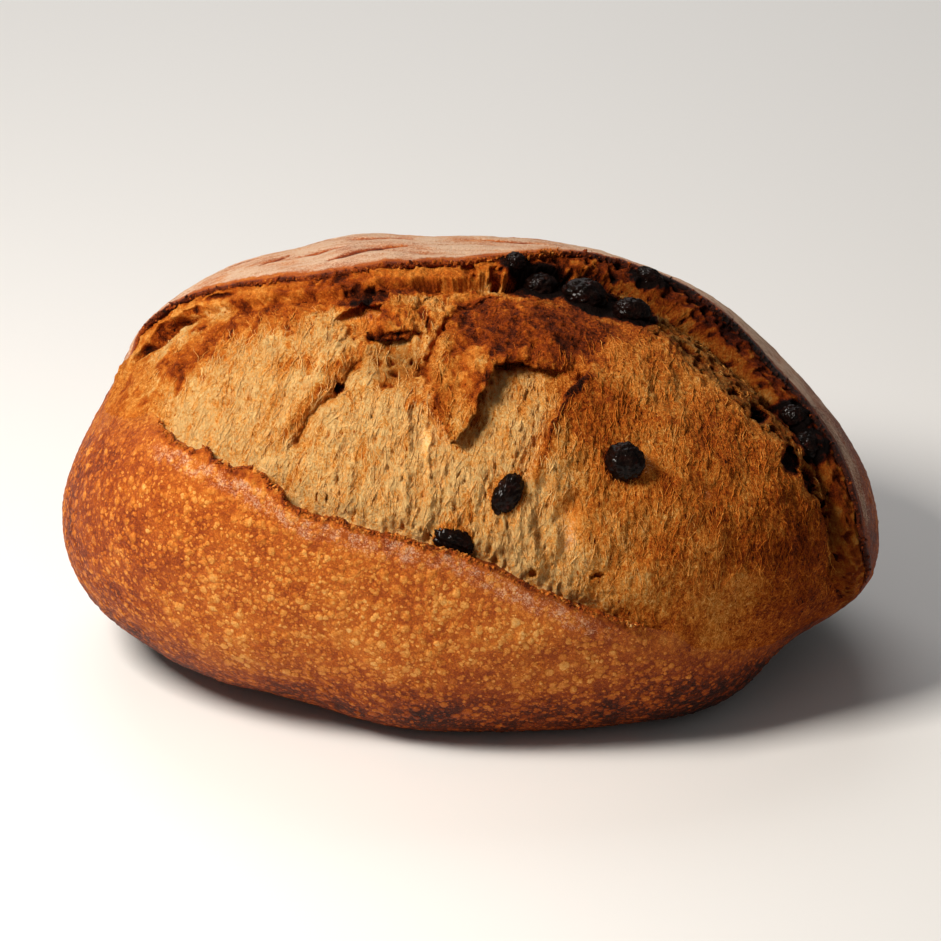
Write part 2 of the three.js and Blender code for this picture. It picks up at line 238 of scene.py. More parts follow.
def spots(along, turn):
    """Places on the dough, at degrees along the burst and radians round it, before any relief."""
    spot = SimpleNamespace(along=along, turn=turn)
    across = across_burst(turn)
    angle = np.radians(along)[:, None]
    spot.direction = np.cos(angle) * BURST_AXIS + np.sin(angle) * across
    spot.upward = across_burst(turn + np.pi / 2)
    spot.point = body_points(spot.direction)
    spot.place = np.stack([spot.point @ RIGHT, spot.point @ FACE_UP + FACE_FOOT], axis=1)
    spot.ring = np.linalg.norm(spot.point - BODY_CENTRE, axis=1) * np.sin(angle[:, 0])
    ear = np.radians(through(EAR_LINE, along))
    lip = np.radians(through(LIP_LINE, along))
    spot.opened = smoothstep(*BURST_OPENS, spot.ring * (ear - lip))
    spot.opened *= smoothstep(0, ENDS_CLOSE, along) * smoothstep(180, 180 - ENDS_CLOSE, along)
    spot.lipped = smoothstep(*LIP_FADES_RIGHT, along) * (1 - smoothstep(*LIP_FADES_LEFT, along))
    spot.lipped *= spot.opened
    ear_strays = raggedness(along, EAR_RAGGED, EAR_SEED)
    lip_strays = raggedness(along, LIP_RAGGED, LIP_SEED)
    spot.from_ear = spot.ring * (turn - ear) - spot.opened * ear_strays
    spot.from_lip = spot.ring * (turn - lip) - spot.lipped * lip_strays
    return spot


# The CAD frame's origin is under the middle of the finished loaf, and the dough's own axis is a
# little to its side: the difference is read off a coarse copy of the whole form.
around = np.linspace(0, 2 * np.pi, 121)
coarse_along, coarse_turn = (axis.ravel() for axis in np.meshgrid(np.linspace(0, 180, 91), around))
coarse = spots(coarse_along, coarse_turn).point
DOUGH_MIDDLE = (coarse.min(axis=0) + coarse.max(axis=0)) / 2 * (1, 1, 0)

# ==== How a segment is made ====
# Each bread piece starts as a sphere whose poles are the ends of the burst. Its rows are dealt out
# round the piece: a rolled edge, the skin, another edge, and two walls that meet in the middle.
WALL_ROWS = 5


def vertex_places(vertices):
    return np.array([vertex.co for vertex in vertices])


def sphere_stations(columns, rows):
    """A sphere whose poles lie along Z, with each vertex's ring and row number."""
    shape = bmesh.new()
    bmesh.ops.create_uvsphere(shape, u_segments=rows, v_segments=columns, radius=1)
    shape.verts.ensure_lookup_table()
    at = vertex_places(shape.verts)
    ring = np.rint(np.arccos(np.clip(at[:, 2], -1, 1)) / np.pi * columns).astype(int)
    share = np.arctan2(at[:, 1], at[:, 0]) / (2 * np.pi) % 1
    return shape, ring, np.rint(share * rows).astype(int) % rows


def deal_rings(columns, first, last):
    """Degrees along the burst for each ring, and how far inside the loaf it is. A piece that ends
    short of the loaf's end has a wall there."""
    before = WALL_ROWS if first > 0 else 0
    after = WALL_ROWS if last < 180 else 0
    skin = np.linspace(first, last, columns + 1 - before - after)
    along = np.concatenate([np.full(before, first), skin, np.full(after, last)])
    inward = 1 - np.arange(WALL_ROWS) / WALL_ROWS
    inside = np.concatenate([inward[:before], np.zeros(len(skin)), inward[::-1][:after]])
    return along, inside


def deal_rows(rows, first_edge, last_edge, crowding):
    """For each row: its share of the way over the skin, how far each edge has rolled, and how far
    inside the loaf it is."""
    skin = rows - first_edge - last_edge - 2 * WALL_ROWS
    share = np.arange(skin) / (skin - 1)
    share = share - crowding * np.sin(2 * np.pi * share) / (2 * np.pi)
    inward = np.arange(1, WALL_ROWS + 1) / (WALL_ROWS + 0.5)
    walk = np.concatenate([np.zeros(first_edge), share, np.ones(last_edge + WALL_ROWS)])
    walk = np.concatenate([walk, np.zeros(WALL_ROWS)])
    roll_first = np.zeros(rows)
    roll_first[:first_edge] = np.pi * (1 - np.arange(first_edge) / max(first_edge, 1))
    roll_first[rows - WALL_ROWS :] = np.pi if first_edge else 0
    roll_last = np.zeros(rows)
    after_skin = first_edge + skin
    rolled = np.arange(1, last_edge + 1) / max(last_edge, 1)
    roll_last[after_skin : after_skin + last_edge] = np.pi * rolled
    after_edge = after_skin + last_edge
    roll_last[after_edge : after_edge + WALL_ROWS] = np.pi if last_edge else 0
    inside = np.zeros(rows)
    inside[after_edge:] = np.concatenate([inward, inward[::-1]])
    return walk, roll_first, roll_last, inside


def roll_edge(points, spot, roll, radius, toward):
    """Rolls the crust's torn edge round, from its top to its underside."""
    out = (radius * np.sin(roll) * toward)[:, None] * spot.upward
    return points + out - (radius * (1 - np.cos(roll)))[:, None] * spot.direction


def add_object(name, shape, smooth=True):
    """Turns a finished shape into a mesh object of the scene."""
    mesh = bpy.data.meshes.new(name)
    shape.to_mesh(mesh)
    shape.free()
    mesh.polygons.foreach_set("use_smooth", np.full(len(mesh.polygons), smooth))
    added = bpy.data.objects.new(name, mesh)
    bpy.context.scene.collection.objects.link(added)
    return added


def set_attribute(mesh, label, values):
    layer = mesh.attributes.new(label, "FLOAT", "POINT")
    layer.data.foreach_set("value", values.astype(np.float32))


# The walls stop short of the loaf's ends, so that they stay inside it.
AXIS_ENDS = 0.85 * ((body_points(np.stack([-BURST_AXIS, BURST_AXIS])) - BODY_CENTRE) @ BURST_AXIS)


MASK_LIMIT = 1.5


def finish_segment(name, shape, points, inside, attributes):
    """Moves the sphere's vertices to their places and makes it a piece that rides on the loaf."""
    from_centre = np.clip((points - BODY_CENTRE) @ BURST_AXIS, *AXIS_ENDS)
    on_axis = BODY_CENTRE + from_centre[:, None] * BURST_AXIS
    points = points + (on_axis - points) * inside[:, None]
    points[:, 2] = np.maximum(points[:, 2], 0)
    points = (points - DOUGH_MIDDLE) * MM
    points = np.clip(points, np.array(cad_low), np.array(cad_high))
    for vertex, place in zip(shape.verts, points.tolist()):
        vertex.co = place
    bmesh.ops.recalc_face_normals(shape, faces=shape.faces)
    piece = add_object(name, shape)
    for label, values in attributes.items():
        set_attribute(piece.data, label, np.clip(values, 0, MASK_LIMIT))
    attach(piece, "root")
    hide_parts("loaf")
    return piece


# The burst's own form: how far its parts rise, sink or hang over, and over what distance.
EAR_LIFT, EAR_REACH, EAR_OVERHANG = 4, 24, 2.5
LIP_LIFT, LIP_REACH, LIP_OVERHANG = 2.5, 13, 0.8
EAR_BAND, EAR_DROP, EAR_GROOVE, GROOVE_REACH = 6, 3, 5, 9
LIP_STEP, LIP_GROOVE = 1.6, 3
SHALLOW_FROM = (92, 118)  # degrees along the burst past which the hollow under the ear is shallow


def ear_lift(spot):
    """The upper crust lifted at its edge as the loaf burst, and settles back behind it."""
    from_base = spot.ring * (2 * np.pi + BASE_TURN - spot.turn)
    lift = EAR_LIFT * np.exp(-np.maximum(spot.from_ear, 0) / EAR_REACH) * spot.opened
    return lift * smoothstep(0, EAR_REACH, from_base)


def lip_lift(spot):
    """The lower crust curled up a little at its edge."""
    return LIP_LIFT * np.exp(np.minimum(spot.from_lip, 0) / LIP_REACH) * spot.lipped


def ear_groove(spot):
    """Below the ear's torn band, the burst is a hollow that runs out over the crumb."""
    groove = EAR_GROOVE * np.exp(np.minimum(spot.from_ear + 1.5 * EAR_BAND, 0) / GROOVE_REACH)
    groove *= 1 - 0.6 * smoothstep(*SHALLOW_FROM, spot.along)
    return groove * (1 - smoothstep(-1.5 * EAR_BAND, -EAR_BAND, spot.from_ear)) * spot.opened


def skin_relief(spot):
    """Lumps of the baked skin, and the blisters that steam raised in it."""
    lumps = 0.7 * noise(spot.point, 34, 1) + 0.45 * noise(spot.point, 13, 2)
    lumps += 0.2 * noise(spot.point, 5, 3) + 0.08 * noise(spot.point, 1.8, 4)
    crowded = smoothstep(-0.5, 0.5, noise(spot.point, 22, 5))
    small_blister = domes(spot.point, 2.6, 2, 0.2, 0.6)
    blister = np.maximum(domes(spot.point, 4.2, 1, 0.12, 0.5), 0.8 * small_blister)
    blister = np.minimum(1.6 * blister, 1) * (0.4 + 0.6 * crowded)
    return lumps, blister


TORN_BLEND = (-14, 12)  # mm past the faded lip's line, between which crust turns to crumb


def torn_share(spot):
    """0 on crust and 1 on torn crumb: a sharp change at the lip, and a slow one where it faded."""
    sharp = (spot.from_lip > 0).astype(float)
    soft = smoothstep(*TORN_BLEND, spot.from_lip + 5 * noise(spot.point, 12, 51))
    return sharp * spot.lipped + soft * (1 - spot.lipped)


# ==== Torn crumb relief ====
# The inside of the dough, which tore open in the oven: toasted flaps of skin, furrows, hollows and
# a web of stretched strands that run up the face. Places are millimetres (along, up) the open face.
FLAPS = (
    # The toasted cape with its tongue.
    dict(
        path=(
            (2, 125), (-4.5, 119.5), (-8.5, 113.5), (-10.5, 107), (-9.5, 99.5), (-8, 92.5),
            (-4.5, 85.5), (0.5, 91), (2.5, 97), (4.5, 101.5), (7, 107), (10.5, 108.5),
            (15.5, 107.5), (21.5, 106), (31, 105),
        ),
        rise=5, reach=16, drop=3, drop_reach=7, taper=12,
    ),
    # The long flap to its right, whose edge hangs over the open crumb.
    dict(
        path=((36, 109), (33, 104), (28, 98), (23.5, 89.5), (21, 82.5), (16, 70)),
        rise=4, reach=16, drop=2.4, drop_reach=6, taper=9,
    ),
    # The blistered mass above the round hollow.
    dict(
        path=(
            (-39, 120), (-35, 123), (-29.5, 125.5), (-24, 124.5), (-24, 119), (-29, 115),
            (-21.5, 114.5), (-12.5, 114.5),
        ),
        rise=4, reach=10, drop=3, drop_reach=6, taper=6,
    ),
)
# The toasted line along each flap's edge: its half width, and how much browner it is.
FLAP_LINES = ((1.5, 0.2), (1.3, 0.44), (1.5, 0.2))
# A furrow runs along its path, and a ridge is one with its depth below zero.
FURROWS = dict(
    slanting_tear=dict(
        path=((-27.5, 110.5), (-37, 100.5), (-41, 96), (-44.5, 91.5), (-48.5, 86.5), (-52, 80.5)),
        depth=3, half_width=2.5, taper=8,
    ),
    toasted_ridge=dict(
        path=(
            (-85.5, 106), (-79.5, 112.5), (-72.5, 119.5), (-64, 123.5), (-57, 125), (-39.5, 128),
            (-19.5, 132), (-8, 135.5),
        ),
        depth=-3, half_width=6, taper=25,
    ),
    crescent=dict(
        path=((-84.5, 102), (-86.5, 97.5), (-86.5, 93.5), (-85, 89)),
        depth=2.5, half_width=2, taper=4,
    ),
    long_hollow=dict(
        path=((15.5, 132.5), (22.5, 129), (32, 126), (41, 124.5), (49, 122)),
        depth=8, half_width=4.5, taper=6,
    ),
    cape_edge=dict(
        path=((14.5, 129), (6, 127), (-1, 124), (-6, 119), (-9.5, 112.5), (-11.5, 106), (-11, 98)),
        depth=2.4, half_width=1.1, taper=4,
    ),
    strand_left=dict(
        path=((-37.5, 88), (-38.4, 80), (-38.4, 71)), depth=-0.9, half_width=0.8, taper=3,
    ),
    strand_inner=dict(
        path=((-32, 84), (-33.6, 76), (-33.6, 67)), depth=-0.9, half_width=0.8, taper=3,
    ),
    strand_middle=dict(
        path=((-15.5, 99), (-17, 88), (-17.6, 74), (-17.4, 60)),
        depth=-1.1, half_width=0.9, taper=4,
    ),
    strand_right=dict(
        path=((-10, 90), (-11.5, 82), (-11, 74), (-10.5, 64)), depth=-0.9, half_width=0.8, taper=4,
    ),
    soft_fold=dict(
        path=((34.5, 73.5), (29, 67), (27.5, 59), (26.5, 44)),
        depth=1.5, half_width=3, taper=10,
    ),
)
# Wide, shallow hollows: middle, radii, turn, depth.
HOLLOWS = (
    ((-19.5, 106.5), (9, 8), 0, 3.5),
    ((13, 100.5), (8, 7), 0, 3),
    ((-30, 119.5), (8, 4.5), 20, 3),
)
FLAP_EDGE = 0.5  # mm over which a flap's edge drops
FLAP_OVERHANG = 1.2
CRUMB_FADE_LIP = (1, 7)  # mm from the lip over which the flaps and furrows grow
CRUMB_FADE_EAR = (4, 10)


def track(path, place):
    """How far places are from a path, on which side (left is above 0), how far they are along it
    from its nearer end, and the path's direction there."""
    nearest = np.full(len(place), np.inf)
    off_line = np.zeros(len(place))
    side = np.zeros(len(place))
    start = np.zeros(len(place))
    heading = np.zeros((len(place), 2))
    walked = 0.0
    for first, second in zip(np.array(path[:-1], float), np.array(path[1:], float)):
        step = second - first
        length = np.hypot(*step)
        offset = place - first
        t = np.clip(offset @ step / length**2, 0, 1)
        distance = np.linalg.norm(offset - t[:, None] * step, axis=1)
        cross = (step[0] * offset[:, 1] - step[1] * offset[:, 0]) / length
        tie = np.abs(distance - nearest) < 1e-6
        closer = np.where(tie, np.abs(cross) > off_line, distance < nearest)
        nearest = np.where(closer, distance, nearest)
        off_line = np.where(closer, np.abs(cross), off_line)
        side = np.where(closer, np.where(cross < 0, -distance, distance), side)
        start = np.where(closer, walked + t * length, start)
        heading = np.where(closer[:, None], step / length, heading)
        walked += length
    return SimpleNamespace(
        distance=nearest, side=side, to_end=np.minimum(start, walked - start), heading=heading
    )


def patch(place, middle, radii, turn=0.0):
    """1 in the middle of an oval patch, fading out at its edge."""
    offset = place - np.array(middle, float)
    cos, sin = math.cos(math.radians(turn)), math.sin(math.radians(turn))
    across = (offset[:, 0] * cos + offset[:, 1] * sin) / radii[0]
    over = (offset[:, 1] * cos - offset[:, 0] * sin) / radii[1]
    return np.exp(-((across**2 + over**2) ** 2))


def pit(place, middle, radii, turn=0.0):
    """Like a patch, with a steep edge."""
    return smoothstep(0.3, 0.75, patch(place, middle, radii, turn))


def strongest(mask, place, ovals):
    """The most that any of the ovals marks each place, as patches or as pits."""
    return np.max([mask(place, *oval) for oval in ovals], axis=0)


def flap_relief(place, path, rise, reach, drop, drop_reach, taper):
    """A flap's relief, how far its edge slides out over the low side, and its track."""
    near = track(path, place)
    fade = smoothstep(0, taper, near.to_end)
    above = smoothstep(-FLAP_EDGE, FLAP_EDGE, near.side)
    high = rise * np.exp(-np.maximum(near.side, 0) / reach)
    low = drop * np.exp(np.minimum(near.side, 0) / drop_reach)
    slide = FLAP_OVERHANG * fade * above * np.exp(-np.maximum(near.side, 0) / 3)
    # The low side is on the path's right.
    toward_low = np.stack([near.heading[:, 1], -near.heading[:, 0]], axis=1)
    return fade * (high * above - low * (1 - above)), slide[:, None] * toward_low, near


def furrow_relief(place, path, depth, half_width, taper):
    near = track(path, place)
    return -depth * smoothstep(0, taper, near.to_end) * np.exp(-((near.distance / half_width) ** 2))


# Fibres lean over to the right on the left half of the face, and stand upright on the right half.
FIBRE_LEAN = ((-110, 0.45), (-60, 0.35), (-20, 0.1), (40, 0.0), (110, -0.1))
FIBRE_FOOT = 80  # the level on the face about which the fibres lean


def along_fibres(spot, width, length):
    """Places squeezed along the fibres, so that noise read there is drawn out into strands."""
    lean = np.interp(spot.place[:, 0], *np.array(FIBRE_LEAN).T)
    side = spot.place[:, 0] - lean * (spot.place[:, 1] - FIBRE_FOOT)
    side = side + 1.2 * noise(spot.point, 9, 61)
    depth = spot.point @ FACE_OUT
    return np.stack([side / width, spot.place[:, 1] / length, depth / (2 * width)], axis=1)


# Where the torn face was toasted: middle, radii, turn, and how much browner (or paler) it is. One
# paler patch is painted light.
TOASTED = (
    ((-60.5, 114), (20, 4), 22, 0.14),
    ((-98.5, 97), (11, 14), 0, 0.32),
    ((-81.5, 100.5), (2.2, 4.2), 15, 0.14),
    ((-50, 106.5), (9, 2.6), 15, 0.22),
    ((-18.5, 120.5), (8, 5), 0, 0.34),
    ((-19.5, 130), (18, 3.5), 8, 0.22),
    ((-19.5, 106.5), (9, 6.5), 0, 0.28),
    ((-30, 119.5), (9, 5), 10, 0.2),
    ((15, 117.5), (22, 10.5), -8, 0.56),
    ((9, 116), (11, 6), 8, 0.2),
    ((34, 115), (8, 5), 0, 0.1),
    ((-3.5, 103), (5.2, 14), -12, 0.37),
    ((2.5, 97), (2.2, 9), -8, 0.3),
    ((-34.5, 87), (1.8, 1.5), 0, 0.3),
    ((-31, 82), (2.6, 2.2), 0, 0.22),
    ((20, 85.5), (2, 1.5), 0, 0.25),
    ((11, 87.5), (2, 2), 0, 0.2),
    ((-15, 95.5), (3, 2), 0, 0.2),
    ((0.5, 127), (12, 5), 0, 0.3),
    ((37, 92), (9, 9), 0, 0.12),
    ((43, 117), (7, 4), 0, 0.14),
    ((52.5, 71), (8, 5), -20, 0.16),
    ((84, 60), (11, 13), 0, 0.12),
    ((71, 40.5), (30, 13), -8, 0.05),
    ((66, 83), (16, 13), 0, 0.08),
    # Paler here: painted light, where the face turns down and away from the light.
    ((38, 50), (15, 15), 0, -0.13),
    ((66, 46), (13, 12), 0, -0.05),
    ((100, 45), (14, 18), 0, 0.16),
)
# The most toasted line of the ridge under the ear.
TOASTED_LINE = (
    (-87, 100), (-84, 105), (-78, 110.5), (-72.5, 115.5), (-62.5, 122), (-48, 125.5),
    (-35, 128), (-19.5, 131), (-8, 134.5),
)
# Smooth skins of stretched gluten that closed over bubbles: middle, radii, turn.
MEMBRANES = (
    ((-12.5, 85.5), (2.4, 5.6), 0),
    ((-11, 77), (2.4, 2.4), 0),
    ((50.5, 79.5), (3.6, 3.6), 0),
    ((66.5, 70.5), (3, 2.4), 0),
    ((28.5, 60), (3.6, 7), 0),
    ((-30, 121), (7, 3.2), 8),
)
# Holes in the crumb: middle, radii, turn, depth, and how dark the inside is drawn, as painted
# shade.
HOLES = (
    ((-36.5, 100), (2.6, 1.5), 38, 4.5, 0.75),
    ((-30, 127), (7.6, 2.4), 6, 2.2, 0.2),
    ((-20.5, 115), (9.5, 1.5), 2, 2.6, 0.4),
    ((-11, 116.5), (1, 3.5), 10, 1.4, 0.25),
    ((0.5, 133.4), (2.6, 1.2), -15, 3, 0.5),
    ((8, 133.2), (2.2, 1.1), 10, 2.5, 0.6),
    ((13, 107), (6, 1.6), 4, 1.8, 0.1),
    ((31.5, 103), (1.6, 1.2), 0, 1, 0.12),
    ((18.5, 47.5), (1.4, 1.2), 0, 1.8, 0.3),
    ((36.5, 47), (2.2, 1), 15, 1.6, 0.3),
    ((-43, 69.5), (0.6, 1.8), 0, 1.4, 0.2),
    ((-40.5, 69), (0.6, 1.6), 0, 1.4, 0.2),
    ((92, 80), (3.2, 4.6), 20, 4, 0.6),
    ((84, 93), (3, 2.4), -40, 3.5, 0.6),
    ((98, 73), (2, 3.4), 20, 3.5, 0.5),
    ((102, 66), (1.8, 3), 20, 3, 0.5),
)
# The long hollow under the ear, where fruit lies, drawn dark: partly burnt, partly painted shade.
# Middle, radii and turn of its parts, and depth.
DARK_HOLLOW = (
    ((22, 131.5), (12, 5.2), -6),
    ((36, 127.5), (10, 6.6), -16),
    ((50, 122.5), (6, 4.4), -20),
)
DARK_DEPTH = 1.8
# The ear's torn underside: cavities at degrees along the burst, with their half length, how far
# below the ear they lie, half width and depth. Their crumb is darkened with painted shade.
EAR_CAVITIES = (
    (171, 2.2, 8.5, 1.8, 3),
    (166.5, 2.6, 7, 2, 4),
    (163, 2.6, 8.5, 1.7, 4),
    (160, 2, 6.5, 1.2, 3),
    (155, 3, 3.4, 1.2, 3),
)
# The open, spongy band beside the ear on the right: how far below the ear it reaches at degrees
# along the burst.
SPONGE_REACH = ((14, 8), (22, 16), (30, 26), (42, 37), (62, 31), (70, 15), (76, 2))
CRUMB_BROWNEST = 0.65  # the toast of the open crumb, past which it rises slowly
GRAIN = 1.8  # mm between the grains of a toasted surface


def crumb_forms(spot):
    """Moves the spots to the torn face's flaps, furrows and holes, and notes where those are."""
    place = spot.place
    inside = smoothstep(*CRUMB_FADE_LIP, spot.from_lip - 3 * (1 - spot.lipped))
    inside *= smoothstep(*CRUMB_FADE_EAR, -spot.from_ear)
    wobble = shifts(spot.point, 6, (71, 72))
    fray = shifts(spot.point, 2.2, (73, 74))
    torn_place = place + 0.6 * wobble + 0.8 * fray
    flaps = [flap_relief(torn_place, **flap) for flap in FLAPS]
    out = sum(relief for relief, _, _ in flaps)
    slide = sum(shift for _, shift, _ in flaps) * inside[:, None]
    for furrow in FURROWS.values():
        out += furrow_relief(torn_place, **furrow)
    for middle, radii, turn, depth in HOLLOWS:
        out -= depth * patch(place, middle, radii, turn)
    out *= inside
    cape_edge = track(FURROWS["cape_edge"]["path"], torn_place)
    spot.cape_edge = np.exp(-((cape_edge.distance / 1.1) ** 2)) * smoothstep(0, 5, cape_edge.to_end)
    tear = track(FURROWS["slanting_tear"]["path"], torn_place)
    slit = np.exp(-((tear.side / 0.8) ** 2)) * smoothstep(0, 8, tear.to_end)
    spot.tear_lip = np.exp(-(((tear.side + 3.2) / 1.8) ** 2)) * smoothstep(0, 6, tear.to_end)
    out -= 1.8 * slit
    # Painted shade: the slit and the holes below are drawn darker inside.
    spot.darkness = 0.2 * slit
    for middle, radii, turn, depth, dark in HOLES:
        hole = pit(torn_place, middle, radii, turn)
        out -= depth * hole
        spot.darkness = np.maximum(spot.darkness, dark * hole)
    spot.hollow = strongest(pit, torn_place, DARK_HOLLOW)
    out -= DARK_DEPTH * spot.hollow
    spot.wobble, spot.fray = wobble, fray
    spot.flaps = [near for _, _, near in flaps]
    spot.point = spot.point + out[:, None] * FACE_OUT
    spot.point += slide[:, :1] * RIGHT + slide[:, 1:] * FACE_UP


def crumb_texture(spot):
    """The fine relief of the torn face and how toasted it is, with painted shade and light added,
    and masks for the material.
    """
    place = spot.place
    soft_place = place + 1.8 * spot.wobble + 0.8 * spot.fray
    membrane = strongest(patch, soft_place, MEMBRANES)
    toast = 0.3 * spot.tear_lip + 0.3 * spot.cape_edge
    toasted_place = place + 2.6 * spot.wobble + 1.2 * spot.fray
    for middle, radii, turn, amount in TOASTED:
        toast += amount * patch(toasted_place, middle, radii, turn)
    ridge = track(TOASTED_LINE, soft_place)
    toast += 0.56 * np.exp(-((ridge.distance / 4.2) ** 2)) * smoothstep(0, 6, ridge.to_end)

    # The right half is a skin of drawn-out fibres, browner than the open crumb on the left.
    skinned = smoothstep(18, 34, place[:, 0] + 0.12 * (place[:, 1] - 75) + 3 * spot.wobble[:, 0])
    toast += 0.32 * skinned
    toast += 0.1 * smoothstep(50, 105, place[:, 0])
    # Small toasted specks on the open crumb, more of them high on the face.
    specks = smoothstep(0.05, 0.5, noise(spot.point, 4.2, 75) + 0.3 * noise(spot.point, 14, 76))
    stains = noise(along_fibres(spot, 5, 10), 1, 77)
    stains = stains + 0.6 * noise(along_fibres(spot, 1.9, 4.5), 1, 78)
    high = smoothstep(85, 115, place[:, 1])
    stained = (0.16 + 0.18 * high) * smoothstep(0.15, 0.6, stains)
    toast += ((0.05 + 0.1 * high) * specks + stained) * (1 - skinned)
    toast += (0.1 * noise(spot.point, 13, 79) + 0.1 * noise(spot.point, 5, 80)) * skinned

    over_brownest = CRUMB_BROWNEST + 0.3 * (toast - CRUMB_BROWNEST)
    toast = np.where(toast > CRUMB_BROWNEST, over_brownest, toast)
    grainy = smoothstep(0.24, 0.42, toast - 0.32 * skinned)
    fine = (1 - 0.85 * membrane) * (1 - 0.8 * spot.hollow)
    broad = 1 - 2.4 * np.abs(noise(along_fibres(spot, 3.0, 10), 1, 62))
    strands = 0.6 * broad + 0.5 * noise(along_fibres(spot, 1.3, 4.5), 1, 63)
    folds = (1 - 2.6 * np.abs(noise(along_fibres(spot, 7, 17), 1, 115))) * (1 - 0.7 * skinned)
    wool = np.abs(noise(spot.point, 2.4, 68)) + 0.6 * np.abs(noise(spot.point, 1.3, 69))
    grains = 0.8 * layered_noise(spot.point, 4, 3, 64)
    grains = grains + 0.5 * domes(spot.point, GRAIN, 10, 0.25, 0.6)
    pits = domes(along_fibres(spot, 2.1, 5), 1, 6, 0.15, 0.5)
    pits = pits + domes(along_fibres(spot, 4.4, 9), 1, 7, 0.1, 0.42)
    reach = np.interp(spot.along, *np.array(SPONGE_REACH).T)
    sponge = smoothstep(-reach - 2, -reach + 2, spot.from_ear + 3 * spot.wobble[:, 0])
    sponge *= 1 - smoothstep(-6, -4, spot.from_ear)
    bent = spot.point + 1.6 * shifts(spot.point, 3.5, (107, 108, 109))
    sponge = np.maximum(sponge, 0.7 * patch(soft_place, (-19.5, 106.5), (8.5, 6)))
    cells = np.maximum(domes(bent, 6.5, 8, 0.15, 0.6), domes(bent, 3.4, 11, 0.15, 0.6))
    lumps = 1.2 * noise(spot.point, 17, 66) + 0.7 * noise(spot.point, 7.5, 67)
    stringy = (1 - 0.7 * grainy) * (1 - sponge) * (1 - 0.4 * skinned)
    woven = 0.7 * folds + 0.6 * strands * stringy
    texture = lumps + fine * (woven + 0.9 * grains * (0.25 + grainy) - 0.6 * wool)
    texture -= fine * 1.1 * pits * (1 - 0.6 * skinned) * (1 - 0.8 * grainy)
    texture -= sponge * (3.8 * cells + 1.2 * layered_noise(bent, 5, 3, 110))
    texture -= 0.9 * membrane * domes(spot.point, 3.6, 9, 0.2, 0.5)
    # Painted shade and highlight: pits, the wool's hollows and the sponge's cells are drawn
    # browner, raised strands and folds paler, and holes and the hollow under the ear darker; the
    # hollow is also partly burnt.
    toast += 0.06 * pits * (1 - skinned) - 0.04 * strands * stringy + 0.08 * (wool - 0.35)
    toast += sponge * (0.85 * cells - 0.2) + spot.darkness + 0.75 * spot.hollow - 0.03 * folds
    return SimpleNamespace(
        texture=texture,
        toast=toast,
        membrane=membrane,
        sponge=sponge,
        grains=grains,
        grainy=grainy,
        skinned=skinned,
    )


def charred_share(along):
    """Where along the burst the ear's edge is burnt black."""
    return smoothstep(88, 74, along) * smoothstep(26, 38, along)


def crust_toast_and_shade(spot):
    """How toasted the baked skin is away from the torn crumb, with painted shade towards the base.
    """
    x = spot.place[:, 0]
    level = spot.point[:, 2]
    toast = 0.48 + 0.08 * noise(spot.point, 30, 81) + 0.07 * noise(spot.point, 10, 82)
    # Darker towards the base: partly the real browning on the oven floor, partly painted shade.
    toast += 0.22 * smoothstep(10, 95, x) + 0.34 * smoothstep(32, 4, level)
    toast += 0.15 * smoothstep(-68, -112, x)
    return toast


# ==== Bread material ====
# Bread is one stuff all over, pale and dull inside and browned by the oven outside. How far it was
# toasted gives its colour, with painted shade in its pores and hollows and painted highlight on its
# raised fibres and grains, and the fibres, grains, blisters and flour on it give the eye its scale.
TOAST_COLOURS = (
    (0.0, "#FFCE85"),
    (0.16, "#FBAF55"),
    (0.34, "#E4862E"),
    (0.5, "#C46017"),
    (0.66, "#963C0A"),
    (0.82, "#531D05"),
    (1.0, "#150703"),
)
FLOUR_COLOUR = "#EBC4A2"
SPONGE_COLOUR = "#8C6E38"
FIBRE_WIDTH = 1.0  # mm
FIBRE_LENGTH = 7.0
FIBRES = ((1.1, 0.05), (2.1, 0.035))  # spacing, and how thin the lines are drawn
GRAIN_SIZE = 0.7
BLISTER_SPACINGS = (3.4, 2.2, 1.3)  # mm
BLISTER_RISE = 0.55  # the height of a blister as a share of its radius
PORE_SPACING = 1.5


def linear(code):
    """An sRGB hex colour as linear light."""
    parts = [int(code[i : i + 2], 16) / 255 for i in (1, 3, 5)]
    return [p / 12.92 if p <= 0.04045 else ((p + 0.055) / 1.055) ** 2.4 for p in parts] + [1.0]


def new_material(name):
    material = bpy.data.materials.new(name)
    material.use_nodes = True
    return material, material.node_tree.nodes["Principled BSDF"]


def set_inputs(material, node, inputs):
    """Sets a node's inputs to numbers, colours or other nodes' outputs."""
    for name, value in inputs.items():
        if isinstance(value, bpy.types.NodeSocket):
            material.node_tree.links.new(value, node.inputs[name])
        else:
            node.inputs[name].default_value = value


def add_node(material, kind, inputs=None, **settings):
    added = material.node_tree.nodes.new("ShaderNode" + kind)
    for name, value in settings.items():
        setattr(added, name, value)
    set_inputs(material, added, inputs or {})
    return added


def colour_ramp(material, value, colours):
    """A colour that follows a value, through (position, colour) stops."""
    ramp = add_node(material, "ValToRGB", {"Fac": value})
    stops = ramp.color_ramp.elements
    for _ in range(len(colours) - len(stops)):
        stops.new(0.5)
    for stop, (position, code) in zip(stops, colours):
        stop.position = position
        stop.color = linear(code)
    return ramp.outputs["Color"]


def bumped(material, height, distance):
    bump = {"Height": height, "Distance": distance, "Strength": 1.0}
    return add_node(material, "Bump", bump).outputs["Normal"]


